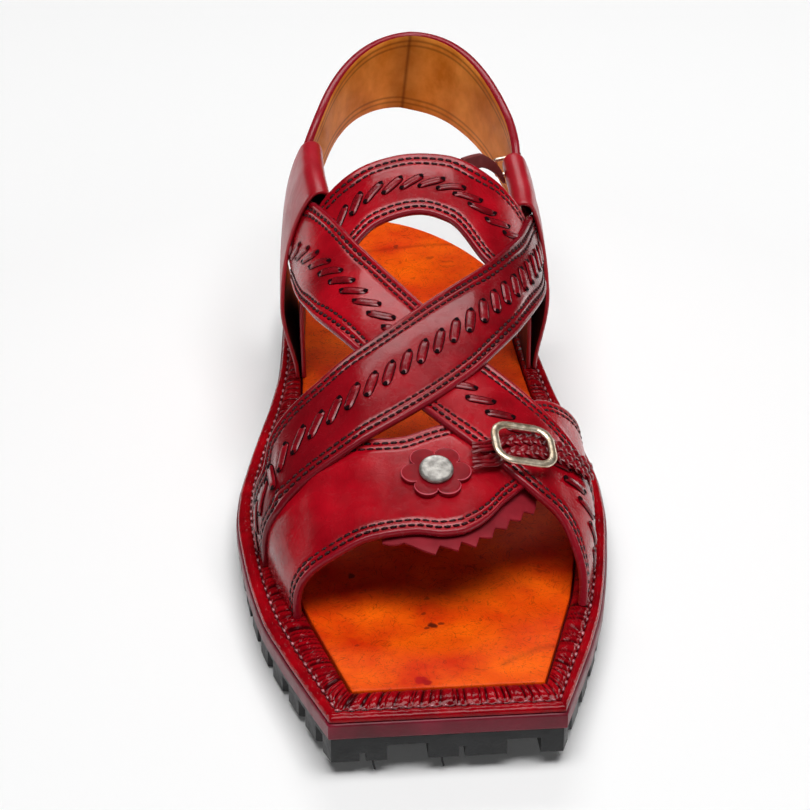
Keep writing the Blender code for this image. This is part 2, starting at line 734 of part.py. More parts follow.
def wire_frame(name, points, radius, material, parts):
    """A closed wire through world points in millimetres."""
    curve = bpy.data.curves.new(name, "CURVE")
    curve.dimensions = "3D"
    curve.bevel_depth = radius * MM
    curve.bevel_resolution = 1
    spline = curve.splines.new("POLY")
    spline.points.add(len(points) - 1)
    for target, point in zip(spline.points, points):
        target.co = (*world(point), 1.0)
    spline.use_cyclic_u = True
    holder = bpy.data.objects.new(name + "_line", curve)
    bpy.context.scene.collection.objects.link(holder)
    depsgraph = bpy.context.evaluated_depsgraph_get()
    mesh = bpy.data.meshes.new_from_object(holder.evaluated_get(depsgraph))
    bpy.data.objects.remove(holder)
    mesh.name = name
    mesh.materials.clear()
    mesh.materials.append(material)
    obj = bpy.data.objects.new(name, mesh)
    parts.objects.link(obj)
    return obj


def build_buckle(parts):
    """Frame that stands round the braid on the outer strap."""
    turn, middle = local_frame(BUCKLE_Y, BUCKLE_GIRTH, BUCKLE_LIFT)
    turn = turn @ Matrix.Rotation(math.radians(BUCKLE_TURN), 4, "Z")
    points = []
    for x, y in rounded_frame(BUCKLE_LENGTH, BUCKLE_WIDTH, BUCKLE_CORNER, 4):
        points.append(middle + turn @ Vector((x, y, 0.0)))
    wire_frame("buckle", points, BUCKLE_WIRE, principled("silver_metal"), parts)


def build_heel_fastening(parts):
    """Small frame that stands in from the heel band behind the outer loop, and the dark strap end."""
    low, high = TAIL_BUCKLE_V
    near = -HEEL_BAND / 2 - GAP - TAIL_BUCKLE_WIRE - 0.1
    far = near - TAIL_BUCKLE_REACH
    points = []
    for v, lift in ((low, near), (low, far), (high, far), (high, near)):
        points.append(band_point(TAIL_BUCKLE_U, v, lift))
    wire_frame("heel_buckle", points, TAIL_BUCKLE_WIRE, principled("silver_metal"), parts)

    def place(u, v):
        free = Vector((mix(*TAIL_X, u), mix(*TAIL_Y, u), mix(*TAIL_Z, v) - TAIL_SAG * u * u))
        held = off_last(TAIL_Y[1], mix(*TAIL_GIRTH, v), -TAIL_THICK / 2 - 0.5)
        return free.lerp(held, ease(0.5, 1.0, u))

    obj = add_object("heel_strap_tail", sheet(8, 2, place), principled("dark_strap_leather"), parts)
    solidify(obj, TAIL_THICK, 0.0)


def new_collection(name):
    collection = bpy.data.collections.new(name)
    bpy.context.scene.collection.children.link(collection)
    return collection


def main():
    for obj in list(bpy.data.objects):
        bpy.data.objects.remove(obj)
    parts = new_collection("cross_strap_sandal")
    cutters = new_collection("cutters")
    build_outsole(parts, cutters)
    low = RUBBER + GAP
    build_board("midsole", "burgundy_leather", sole_loop(0.0), low, low + MIDSOLE, parts, 0.7)
    low += MIDSOLE + GAP
    build_board("insole", "orange_leather", footbed_loop(), low, low + DECK, parts, 0.5)
    build_welt(parts)
    build_upper(parts, cutters)
    underlay = principled("dull_burgundy_leather")
    strap_object("pinked_underlay", UNDERLAY, UNDERLAY_THICK, 64, 2, underlay, parts, pinked)
    build_loop("quarter_inner", -1, parts)
    build_loop("quarter_outer", 1, parts)
    build_heel_band(parts)
    build_flower(parts)
    strap_object("braid", BRAID, BRAID_THICK, 24, 2, principled("strap_leather"), parts)
    build_buckle(parts)
    build_heel_fastening(parts)


main()
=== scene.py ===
"""Looks of a left leather sandal with crossing straps, a ruched welt and a tyre-tread sole.

Lengths in the tables are millimetres in the shoe's own frame: x runs from the inner to the outer side, y
from the toe at the front (negative) to the heel, z up from the floor.
"""

import logging
import math
from dataclasses import dataclass, field, replace
from enum import Enum
from typing import Callable, NamedTuple, Sequence

import bpy
import numpy as np
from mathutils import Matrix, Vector


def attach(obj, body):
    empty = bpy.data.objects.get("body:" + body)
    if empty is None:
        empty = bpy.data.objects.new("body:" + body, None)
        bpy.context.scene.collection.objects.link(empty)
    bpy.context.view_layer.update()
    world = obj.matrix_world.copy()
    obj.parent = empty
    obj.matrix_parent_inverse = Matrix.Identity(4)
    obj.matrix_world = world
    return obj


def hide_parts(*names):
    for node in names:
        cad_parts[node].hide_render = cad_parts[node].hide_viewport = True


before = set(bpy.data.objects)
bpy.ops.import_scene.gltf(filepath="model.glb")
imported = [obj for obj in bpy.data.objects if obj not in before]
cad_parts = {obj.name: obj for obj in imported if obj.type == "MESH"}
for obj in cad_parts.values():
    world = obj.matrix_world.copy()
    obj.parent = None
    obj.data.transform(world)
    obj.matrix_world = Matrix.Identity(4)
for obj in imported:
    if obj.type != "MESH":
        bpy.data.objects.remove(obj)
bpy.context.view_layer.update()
LOG = logging.getLogger("sandal")

MM = 0.001
Array = np.ndarray
Piece, Tree, Socket = bpy.types.Object, bpy.types.NodeTree, bpy.types.NodeSocket

# Driving sizes of the shoe, the same as those of its solids
RUBBER, MIDSOLE, DECK, GAP = 7.8, 5.3, 2.8, 0.3
TOE_SPRING, SPRING_START, HEEL_RISE = 5.0, -62.0, 2.0
HEEL_START, HEEL_END, HEEL_APEX = 78.0, 144.0, -2.0
HEEL_ROUND = {-1: 1.9, 1: 1.65}
STRAP, UNDER, OVER, LOOP_LIFT = 2.4, 1.6, 3.2, 1.8
LOOP_OVER = LOOP_LIFT + UNDER
LOOP_WALL, LOOP_ROOM = 1.5, 4.6
FOOTBED_HEEL, FOOTBED_INSET = 92.0, 1.2
RISE_START, RISE_END = -20.0, 130.0
CENTRE = np.array([0.65, 2.0, 0.0])
# Rough lengths by which the outlines are divided
HEEL_RUN, TOE_RUN, FOOTBED_TOE_RUN = 80.0, 64.0, 52.0


class SoleRow(NamedTuple):
    """Inner and outer edge of an outline at one section."""

    y: float
    inner: float
    outer: float


class LastRow(NamedTuple):
    """One section of the foot form: inner and outer edge, swell of the side, ridge height, squareness."""

    y: float
    inner: float
    outer: float
    swell: float
    ridge: float
    crown: float


class StrapRow(NamedTuple):
    """A strap's front and rear edge and its lift at one girth of the foot form."""

    girth: float
    front: float
    rear: float
    lift: float


class Crease(NamedTuple):
    """A soft ridge between two places in plan, or a trough where its height is below zero."""

    x0: float
    y0: float
    x1: float
    y1: float
    height: float
    wide: float

    def lift(self, x: Array, y: Array) -> Array:
        """Height of the crease at places in plan.

        Args:
            x: Places across the shoe.
            y: Places along the shoe.

        Returns:
            Heights, below zero in a trough.
        """
        run_x, run_y = self.x1 - self.x0, self.y1 - self.y0
        t = np.clip(((x - self.x0) * run_x + (y - self.y0) * run_y) / (run_x ** 2 + run_y ** 2), 0.0, 1.0)
        away = np.hypot(x - self.x0 - t * run_x, y - self.y0 - t * run_y)
        return self.height * np.exp(-(away / self.wide) ** 2)


class BandRow(NamedTuple):
    """How far the heel band's lower edge hangs at a share along it."""

    u: float
    drop: float


def table(kind: type, rows: Sequence[Sequence[float]], *same: float) -> list:
    """Rows of one kind, each ending with the same last values."""
    return [kind(*row, *same) for row in rows]


SOLE = table(SoleRow, (
    (-140.0, -32.8, 31.0), (-119.0, -39.7, 38.4), (-106.0, -43.9, 42.9), (-87.0, -49.4, 48.4),
    (-59.0, -53.5, 53.6), (-38.0, -54.9, 56.0), (-25.0, -54.0, 56.3), (-8.0, -50.9, 54.6),
    (10.0, -46.9, 51.9), (28.0, -42.6, 49.4), (48.0, -39.0, 47.4), (78.0, -36.6, 44.0)))
INSOLE = table(SoleRow, (
    (-128.0, -25.7, 26.2), (-86.0, -36.6, 38.8), (-58.0, -41.0, 43.6), (-30.0, -42.0, 45.6),
    (0.0, -37.6, 43.4), (28.0, -32.2, 40.2), (60.0, -31.0, 38.6), (84.0, -31.0, 38.0)))
LAST = table(LastRow, (
    (-142.0, -24.0, 25.0, 0.0, 10.0, 0.86), (-94.0, -36.5, 38.0, 0.5, 23.0, 0.86),
    (-57.0, -44.5, 45.5, 1.5, 34.0, 0.84), (-32.0, -46.0, 47.0, 2.0, 41.0, 0.80),
    (-12.0, -42.0, 46.0, 2.0, 47.0, 0.76), (12.0, -35.5, 43.5, 1.5, 53.0, 0.72),
    (38.0, -30.5, 41.2, 1.0, 63.0, 0.66), (60.0, -29.8, 41.0, 0.5, 70.0, 0.57),
    (90.0, -28.0, 41.0, 0.0, 71.0, 0.54), (142.0, -25.0, 39.0, 0.0, 72.0, 0.54)))
TOE_BAND = table(StrapRow, (
    (-1.00, -91.0, -48.0), (-0.80, -89.8, -48.0), (-0.60, -90.0, -48.0), (-0.35, -88.4, -52.0),
    (-0.12, -88.6, -54.5), (0.03, -90.0, -51.5), (0.13, -89.3, -49.2), (0.20, -87.3, -46.0),
    (0.27, -83.7, -43.0), (0.36, -76.2, -40.0), (0.53, -66.0, -32.0), (0.75, -66.0, -26.5),
    (1.00, -65.0, -22.0)), 0.0)
CROSS_B = table(StrapRow, (
    (-0.57, 35.0, 65.0, LOOP_OVER), (-0.45, 8.5, 61.0, LOOP_OVER), (-0.38, -4.5, 52.5, LOOP_OVER - 0.1),
    (-0.21, -25.9, 20.2, LOOP_LIFT + 0.9), (0.00, -46.5, -4.6, UNDER), (0.15, -57.0, -18.0, UNDER),
    (0.26, -63.1, -27.3, UNDER), (0.47, -72.5, -38.0, UNDER), (0.63, -77.2, -44.0, UNDER),
    (0.80, -85.5, -50.0, UNDER), (1.00, -91.0, -58.0, UNDER)))
CROSS_A = table(StrapRow, (
    (-1.00, -64.0, -44.0, UNDER), (-0.73, -64.3, -45.0, UNDER), (-0.64, -63.2, -36.5, UNDER),
    (-0.55, -61.8, -32.7, UNDER), (-0.40, -59.2, -28.7, UNDER + 0.3), (-0.23, -55.2, -22.0, OVER),
    (0.00, -46.3, -8.2, OVER), (0.20, -34.0, 7.7, OVER + 0.2), (0.35, -16.1, 28.7, LOOP_OVER),
    (0.47, 6.4, 52.0, LOOP_OVER), (0.57, 28.0, 65.0, LOOP_OVER)))
INSTEP = table(StrapRow, (
    (-0.50, 26.0, 44.5), (-0.42, 19.0, 45.0), (-0.33, 17.0, 47.0), (-0.27, 20.0, 48.1), (-0.15, 27.6, 50.7),
    (0.00, 30.4, 52.8), (0.11, 27.5, 52.0), (0.27, 13.5, 48.2), (0.35, 12.5, 47.5), (0.42, 16.0, 48.0),
    (0.50, 26.0, 45.0)), LOOP_LIFT)
UNDERLAY = table(StrapRow, (
    (-0.30, -89.0, -74.0), (-0.18, -93.0, -76.0), (-0.05, -95.0, -76.0), (0.18, -93.0, -74.0),
    (0.35, -86.0, -66.0), (0.52, -76.0, -60.0)), -1.6)
CREASES = {
    "toe_band": table(Crease, (
        (-31.0, -90.0, -32.0, -52.0, 0.40, 3.6), (-37.0, -88.0, -38.0, -52.0, -0.35, 3.2),
        (-24.0, -88.0, -25.0, -54.0, -0.25, 4.0), (-11.5, -84.0, -12.5, -60.0, -0.14, 1.5),
        (14.0, -86.0, 20.0, -70.0, -0.16, 3.0))),
    "strap_a": table(Crease, (
        (-27.0, -58.0, -21.0, -40.0, -0.22, 2.6), (-12.0, -40.0, -6.0, -34.0, -0.16, 1.6),
        (-3.0, -44.0, 1.0, -36.0, -0.12, 1.4), (21.0, -20.0, 27.0, 12.0, -0.22, 3.0),
        (29.0, 4.0, 33.0, 30.0, 0.25, 2.6))),
    "strap_b": table(Crease, (
        (-22.0, -2.0, -15.0, 14.0, -0.2, 2.2), (-14.0, -26.0, -8.0, -12.0, -0.14, 1.8),
        (33.0, -70.0, 34.0, -44.0, 0.3, 3.0), (40.0, -74.0, 41.0, -50.0, -0.3, 2.6))),
    "instep_strap": table(Crease, (
        (-16.0, 24.0, -13.0, 46.0, -0.16, 2.2), (13.0, 26.0, 10.0, 48.0, -0.16, 2.2),
        (-2.0, 33.0, 0.0, 50.0, -0.12, 1.8)))}
BRAID = table(StrapRow, (
    (0.182, -68.5, -60.6, 4.3), (0.210, -68.0, -60.2, 4.4), (0.26, -67.0, -59.0, 4.4),
    (0.36, -63.5, -55.5, 4.4), (0.50, -60.0, -52.0, 4.4), (0.62, -58.5, -50.5, 4.4),
    (0.74, -57.0, -49.0, 4.4)))


def smooth(rows: Sequence[NamedTuple], column: str) -> Callable[[Array], Array]:
    """A curve through one column of a table against its first column, with no overshoot.

    Args:
        rows: Rows of the table, in rising order of the first column.
        column: Name of the column.

    Returns:
        A function of an array of places.
    """
    xs = np.array([row[0] for row in rows], float)
    ys = np.array([getattr(row, column) for row in rows], float)
    steps = np.diff(xs)
    slopes = np.diff(ys) / steps
    tangents = np.zeros_like(ys)
    tangents[0], tangents[-1] = slopes[0], slopes[-1]
    same = slopes[:-1] * slopes[1:] > 0.0
    total = np.where(same, slopes[:-1] + slopes[1:], 1.0)
    tangents[1:-1] = np.where(same, 2.0 * slopes[:-1] * slopes[1:] / total, 0.0)

    def curve(x: Array) -> Array:
        """Value of the curve at each place.

        Args:
            x: Places, held to the table's range.

        Returns:
            Values.
        """
        x = np.clip(np.asarray(x, float), xs[0], xs[-1])
        k = np.clip(np.searchsorted(xs, x) - 1, 0, len(steps) - 1)
        t = (x - xs[k]) / steps[k]
        rise_part = (1.0 + 2.0 * t) * (1.0 - t) ** 2 * ys[k] + t * t * (3.0 - 2.0 * t) * ys[k + 1]
        bend_part = t * (1.0 - t) ** 2 * tangents[k] + t * t * (t - 1.0) * tangents[k + 1]
        return rise_part + steps[k] * bend_part

    return curve


def ease(low: float, high: float, x: Array) -> Array:
    """Smooth step from 0 at low to 1 at high."""
    t = np.clip((np.asarray(x, float) - low) / (high - low), 0.0, 1.0)
    return t * t * (3.0 - 2.0 * t)


def mix(a: Array, b: Array, t: Array) -> Array:
    """Straight mix from a to b."""
    return a + (b - a) * t


def unit(v: Array) -> Array:
    """Vectors at length one."""
    return v / np.maximum(np.linalg.norm(v, axis=-1, keepdims=True), 1e-9)


def ripple(x: Array, seed: float) -> Array:
    """Uneven wave between about -1 and 1, the same on each run.

    Args:
        x: Places in units of the wave's own length.
        seed: Number that shifts the wave.

    Returns:
        The wave's height at each place.
    """
    parts = ((1.0, 1.00, 0.3), (0.7, 1.73, 1.9), (0.5, 2.91, 4.1), (0.35, 4.77, 2.6))
    wave = 6.2832
    total = sum(a * np.sin(wave * f * x + 7.0 * seed + p * (1.0 + seed)) for a, f, p in parts)
    return total / 2.0


def run_of(line: Array) -> Array:
    """Length along a line of points, from zero at its start."""
    return np.concatenate([[0.0], np.cumsum(np.linalg.norm(np.diff(line, axis=0), axis=1))])


def follow(stops: Array, run: Array, values: Array) -> Array:
    """Points or directions at stops along a run."""
    return np.stack([np.interp(stops, run, values[:, k]) for k in range(3)], 1)


def circle(count: int) -> Array:
    """Angles of points spaced evenly round a circle."""
    return np.arange(count) * 2.0 * math.pi / count


def spring(y: Array) -> Array:
    """Lift of the sole's underside toward the toe."""
    return TOE_SPRING * (np.maximum(SPRING_START - np.asarray(y), 0.0) / (SPRING_START - SOLE[0].y)) ** 2


def rise(y: Array) -> Array:
    """Wedge of the rubber toward the heel."""
    return HEEL_RISE * ease(RISE_START, RISE_END, y)


def deck_level(y: Array) -> Array:
    """Height of the footbed's top."""
    return RUBBER + GAP + MIDSOLE + GAP + DECK + spring(y) + rise(y)


SOLE_EDGE = {-1: smooth(SOLE, "inner"), 1: smooth(SOLE, "outer")}
FOOTBED_EDGE = {-1: smooth(INSOLE, "inner"), 1: smooth(INSOLE, "outer")}


def heel_arc(side: int, count: int) -> Array:
    """Outline of the heel from the end of one side to the apex.

    Args:
        side: -1 for the inner and 1 for the outer side.
        count: Count of the points.

    Returns:
        Points in plan.
    """
    power = HEEL_ROUND[side]
    turn = 0.5 * math.pi * np.arange(1, count + 1) / count
    width = float(SOLE_EDGE[side](HEEL_START)) - HEEL_APEX
    x = HEEL_APEX + width * np.maximum(np.cos(turn), 0.0) ** (2.0 / power)
    y = HEEL_START + (HEEL_END - HEEL_START) * np.sin(turn) ** (2.0 / power)
    return np.stack([x, y], 1)


def inset_loop(points: Array, inset: float) -> Array:
    """A closed counterclockwise loop moved inward along its own normals.

    Args:
        points: Loop in plan.
        inset: Distance inward.

    Returns:
        The moved loop.
    """
    before, after = np.roll(points, 1, 0), np.roll(points, -1, 0)
    first, second = unit(points - before), unit(after - points)
    normal = unit(np.stack([-first[:, 1] - second[:, 1], first[:, 0] + second[:, 0]], 1))
    reach = np.maximum((normal * np.stack([-first[:, 1], first[:, 0]], 1)).sum(1), 0.5)
    return points + normal * (inset / reach)[:, None]


def sole_loop(inset: float, step: float) -> Array:
    """Outline of the sole, counterclockwise from the outer toe corner.

    Args:
        inset: Distance inward from the sole's edge.
        step: Spacing of the points.

    Returns:
        Loop in plan.
    """
    count = int((HEEL_START - SOLE[0].y) / step)
    up = np.linspace(SOLE[0].y, HEEL_START, count + 1)
    outer = np.stack([SOLE_EDGE[1](up), up], 1)
    inner = np.stack([SOLE_EDGE[-1](up[::-1]), up[::-1]], 1)
    arc = int(HEEL_RUN / step)
    front = np.linspace(inner[-1], outer[0], int(TOE_RUN / step) + 1)[1:-1]
    loop = np.concatenate([outer, heel_arc(1, arc), heel_arc(-1, arc)[-2::-1], inner, front])
    return inset_loop(loop, inset)


def footbed_loop(step: float) -> Array:
    """Outline of the footbed: six-sided toe, the welt's inner edge, and the sole's edge at the heel.

    Args:
        step: Spacing of the points.

    Returns:
        Loop in plan.
    """
    heel = sole_loop(FOOTBED_INSET, step)
    heel = heel[heel[:, 1] > FOOTBED_HEEL]
    corner, knee, end = INSOLE[0].y, INSOLE[1].y, INSOLE[-1].y
    sides = {}
    for side in (-1, 1):
        toe = np.linspace(corner, knee, int((knee - corner) / step) + 1)[:-1]
        ends = FOOTBED_EDGE[side](np.array([corner, knee]))
        body = np.linspace(knee, end, int((end - knee) / step) + 1)
        x = np.concatenate([np.interp(toe, [corner, knee], ends), FOOTBED_EDGE[side](body)])
        sides[side] = np.stack([x, np.concatenate([toe, body])], 1)
    front = np.linspace(sides[-1][0], sides[1][0], int(FOOTBED_TOE_RUN / step) + 1)[1:-1]
    return np.concatenate([sides[1], heel, sides[-1][::-1], front])


class Last:
    """The foot form that the straps lie on, kept as a grid of points and outward directions."""

    y_step, girth_step = 0.5, 0.01

    def __init__(self) -> None:
        """Samples the sections of the table."""
        self.ys = np.arange(LAST[0].y, LAST[-1].y + 0.01, self.y_step)
        self.girths = np.linspace(-1.0, 1.0, 201)
        curve = {name: smooth(LAST, name)(self.ys)[:, None] for name in LastRow._fields[1:]}
        half = 120
        turn = np.linspace(-0.5, 0.5, 2 * half + 1)[None, :] * math.pi
        across = np.sign(turn) * np.abs(np.sin(turn)) ** curve["crown"]
        up = np.clip(np.cos(turn), 0.0, 1.0) ** curve["crown"]
        reach = 0.5 * (curve["outer"] - curve["inner"]) + curve["swell"] * np.sin(math.pi * up) ** 2
        x = 0.5 * (curve["outer"] + curve["inner"]) + reach * across
        z = deck_level(self.ys)[:, None] + GAP + curve["ridge"] * up
        length = np.concatenate(
            [np.zeros((len(self.ys), 1)), np.cumsum(np.hypot(np.diff(x, axis=1), np.diff(z, axis=1)), 1)], 1)
        top = length[:, half:half + 1]
        girth = np.where(length < top, (length - top) / top, (length - top) / (length[:, -1:] - top))
        self.half_girth = 0.5 * length[:, -1]
        self.points = np.zeros((len(self.ys), len(self.girths), 3))
        for k, y in enumerate(self.ys):
            self.points[k, :, 0] = np.interp(self.girths, girth[k], x[k])
            self.points[k, :, 1] = y
            self.points[k, :, 2] = np.interp(self.girths, girth[k], z[k])
        along = np.gradient(self.points, axis=0)
        wide = np.pad(self.points, ((0, 0), (2, 2), (0, 0)), mode="edge")
        normal = unit(np.cross(wide[:, 4:] - wide[:, :-4], along))
        edge = np.clip((np.abs(self.girths) - 0.9) / 0.1, 0.0, 1.0)[None, :, None]
        flat = unit(normal * np.array([1.0, 1.0, 0.0]))
        self.normals = unit(mix(normal, flat, edge))

    def girth_at(self, y: float) -> float:
        """Half of the girth at a section."""
        return float(np.interp(y, self.ys, self.half_girth))

    def place(self, y: Array, girth: Array, lift: Array) -> Array:
        """Points on the form moved out along its normals, never under the footbed's top.

        Args:
            y: Sections.
            girth: Girths from -1 at the inner edge to 1 at the outer edge.
            lift: Distances off the form.

        Returns:
            Points in the shoe's millimetres.
        """
        y, girth, lift = np.broadcast_arrays(np.asarray(y, float), np.asarray(girth, float),
                                             np.asarray(lift, float))
        a = np.clip((y - self.ys[0]) / self.y_step, 0.0, len(self.ys) - 1.001)
        b = np.clip((girth + 1.0) / self.girth_step, 0.0, len(self.girths) - 1.001)
        i, j = a.astype(int), b.astype(int)
        s, t = (a - i)[..., None], (b - j)[..., None]
        pair = []
        for grid in (self.points, self.normals):
            low = mix(grid[i, j], grid[i, j + 1], t)
            high = mix(grid[i + 1, j], grid[i + 1, j + 1], t)
            pair.append(mix(low, high, s))
        point = pair[0] + unit(pair[1]) * lift[..., None]
        point[..., 2] = np.maximum(point[..., 2], deck_level(point[..., 1]) + 0.1)
        return point


FORM = Last()


class Edge(Enum):
    """The two long edges of a strip."""

    FRONT = 0
    REAR = 1


def beside(share: Array, step: float) -> tuple[Array, Array]:
    """Shares a step after and before a share, held to the sheet."""
    return np.clip(share + step, 0.0, 1.0), np.clip(share - step, 0.0, 1.0)


class Sheet:
    """A surface with a share u along it and a share v across it."""

    def point(self, u: Array, v: Array, lift: Array) -> Array:
        """Points at shares u along and v across, lifted off the surface, in the shoe's millimetres."""
        raise NotImplementedError

    def along(self, u: Array, v: Array, lift: Array) -> Array:
        """Step along the sheet per whole share."""
        high, low = beside(u, 2e-3)
        return (self.point(high, v, lift) - self.point(low, v, lift)) / (high - low)[..., None]

    def across(self, u: Array, v: Array, lift: Array) -> Array:
        """Step across the sheet per whole share."""
        high, low = beside(v, 2e-2)
        return (self.point(u, high, lift) - self.point(u, low, lift)) / (high - low)[..., None]

    def out(self, u: Array, v: Array, lift: Array) -> Array:
        """Direction in which a lift moves a point."""
        return unit(self.point(u, v, lift + 0.5) - self.point(u, v, lift))

    def width(self, u: Array) -> Array:
        """Width square to the run, at shares along it.

        Args:
            u: Shares along.

        Returns:
            Widths.
        """
        if not hasattr(self, "width_table"):
            us = np.linspace(0.0, 1.0, 161)
            mid = np.full_like(us, 0.5)
            vs = np.linspace(0.0, 1.0, 25)
            lines = self.point(us[:, None], vs[None, :], np.zeros((161, 25)))
            length = np.linalg.norm(np.diff(lines, axis=1), axis=2).sum(1)
            run, over = unit(self.along(us, mid, mid * 0.0)), unit(self.across(us, mid, mid * 0.0))
            self.width_table = (us, length * np.linalg.norm(np.cross(run, over), axis=1))
        return np.interp(u, *self.width_table)

    def share(self, u: Array, distance: Array, edge: Edge) -> Array:
        """Share across at a distance from one edge."""
        inward = distance / self.width(u)
        return inward if edge is Edge.FRONT else 1.0 - inward

    def run(self, u: Array) -> Array:
        """Length along the middle line at shares along, from zero at the first."""
        return run_of(self.point(u, np.full_like(u, 0.5), np.zeros_like(u)))

    def length(self) -> float:
        """Length of the middle line."""
        return float(self.run(np.linspace(0.0, 1.0, 200))[-1])


class StrapSheet(Sheet):
    """A strap draped on the foot form from a table of its two edges and its lift."""

    def __init__(self, rows: Sequence[StrapRow], tooth: Callable[[Array], Array] | None = None) -> None:
        """Keeps the table's curves.

        Args:
            rows: Table of the two edges and the lift.
            tooth: Depth cut into the front edge at a share along, if any.
        """
        self.ends = (rows[0].girth, rows[-1].girth)
        self.front, self.rear, self.lift = (smooth(rows, name) for name in StrapRow._fields[1:])
        self.tooth = tooth

    def point(self, u: Array, v: Array, lift: Array) -> Array:
        """Points at shares u and v, lifted off the strap's underside.

        Args:
            u: Shares along.
            v: Shares across.
            lift: Distances off it.

        Returns:
            Points in the shoe's millimetres.
        """
        u, v, lift = np.broadcast_arrays(u, v, lift)
        girth = mix(self.ends[0], self.ends[1], u)
        start = self.front(girth) + (self.tooth(u) if self.tooth else 0.0)
        return FORM.place(mix(start, self.rear(girth), v), girth, self.lift(girth) + lift)


class LoopSheet(Sheet):
    """A leather strip up from the sole, folded over at the top and down again outside."""

    front, lean = 38.0, {-1: 10.0, 1: 12.0}
    rear = {-1: 78.0, 1: 72.0}
    tops = {-1: (0.345, 0.36), 1: (0.445, 0.395)}
    fold_start, fold_end, fold_share = 0.44, 0.56, 0.12

    def __init__(self, side: int) -> None:
        """Keeps the side, -1 for the inner and 1 for the outer loop."""
        self.side = side

    def middle(self, u: Array, v: Array) -> Array:
        """Points of the strip's middle surface.

        Args:
            u: Shares along.
            v: Shares across.

        Returns:
            Points in the shoe's millimetres.
        """
        low = LOOP_WALL / 2
        high = LOOP_WALL * 1.5 + LOOP_ROOM
        radius = (high - low) / 2
        top = mix(*self.tops[self.side], v)
        rising, falling = u < self.fold_start, u > self.fold_end
        girth = np.where(rising, mix(1.0, top, u / self.fold_start), top)
        girth = np.where(falling, mix(top, 1.0, (u - self.fold_end) / self.fold_start), girth)
        lift = np.where(rising, low, mix(high, LOOP_WALL * 1.5 + 0.4, ease(0.72, 1.0, girth)))
        front = self.front + self.lean[self.side] * (1.0 - ease(top, 1.0, girth))
        y = mix(front, self.rear[self.side], v)
        turn = math.pi * np.clip((u - self.fold_start) / self.fold_share, 0.0, 1.0)
        folding = ~rising & ~falling
        half = np.interp(y, FORM.ys, FORM.half_girth)
        girth = np.where(folding, girth - radius * np.sin(turn) / half, girth)
        lift = np.where(folding, low + radius * (1.0 - np.cos(turn)), lift)
        return FORM.place(y, self.side * girth, lift)

    def point(self, u: Array, v: Array, lift: Array) -> Array:
        """Points moved off the middle surface toward the outside of the fold.

        Args:
            u: Shares along.
            v: Shares across.
            lift: Distances off it.

        Returns:
            Points in the shoe's millimetres.
        """
        u, v, lift = (np.array(a, float) for a in np.broadcast_arrays(u, v, lift))
        (u_high, u_low), (v_high, v_low) = beside(u, 4e-3), beside(v, 2e-2)
        run = self.middle(u_high, v) - self.middle(u_low, v)
        over = self.middle(u, v_high) - self.middle(u, v_low)
        normal = unit(np.cross(run, over)) * self.side
        return self.middle(u, v) + normal * lift[..., None]


class BandSheet(Sheet):
    """Middle surface of the heel band: u from the inner loop round the heel, v from low to high."""

    leg, mid_x, half, arc_start, back, rounding, skew = 0.2, 8.2, 34.2, 78.0, 138.0, 1.7, 3.0
    start, half_height, low_mid, high_mid = 66.0, 12.9, 64.0, 80.2
    girth_top, girth_low = 0.42, 0.66
    held_end, held_length = 104.0, 24.0
    drop = staticmethod(smooth(table(BandRow, (
        (0.20, -4.6), (0.30, -3.8), (0.36, -1.9), (0.42, 0.4), (0.48, 1.9), (0.55, 3.0), (0.62, 2.7),
        (0.70, 1.1), (0.80, 0.0))), "drop"))

    def point(self, u: Array, v: Array, lift: Array) -> Array:
        """Points moved off the middle surface, outward.

        Args:
            u: Shares along.
            v: Shares across.
            lift: Distances off it.

        Returns:
            Points in the shoe's millimetres.
        """
        u, v, lift = (np.array(a, float) for a in np.broadcast_arrays(u, v, lift))
        turn = math.pi * (1.0 - np.clip((u - self.leg) / (1.0 - 2.0 * self.leg), 0.0, 1.0))
        cos, sin = np.cos(turn), np.maximum(np.sin(turn), 0.0)
        across = np.sign(cos) * np.abs(cos) ** (2.0 / self.rounding)
        deep = self.back - self.arc_start
        arc = (u >= self.leg) & (u <= 1.0 - self.leg)
        side = np.where(u < 0.5, -1.0, 1.0)
        t = np.where(u < 0.5, u, 1.0 - u) / self.leg
        x = self.mid_x + self.half * np.where(arc, across, side)
        x = x + np.where(arc, self.skew * sin * sin * v, 0.0)
        y = np.where(
            arc, self.arc_start + deep * sin ** (2.0 / self.rounding), mix(self.start, self.arc_start, t))
        out_x = np.where(arc, across / self.half, side)
        out_y = np.where(arc, sin / deep, 0.0)
        out = unit(np.stack([out_x, out_y, np.zeros_like(out_x)], -1))
        share = ease(self.arc_start - 4.0, self.back, y)
        z = mix(self.low_mid, self.high_mid, share) + self.half_height * (2.0 * v - 1.0)
        z = z - self.drop(u) * (1.0 - v)
        free = np.stack([x, y, z], -1) + out * lift[..., None]
        girth = side * mix(self.girth_low, self.girth_top, v)
        held = FORM.place(np.minimum(y, self.held_end), girth, LOOP_WALL + LOOP_ROOM / 2 + lift)
        rear = np.where(side < 0.0, LoopSheet.rear[-1], LoopSheet.rear[1])
        return mix(held, free, ease(0.0, self.held_length, y - rear)[..., None])


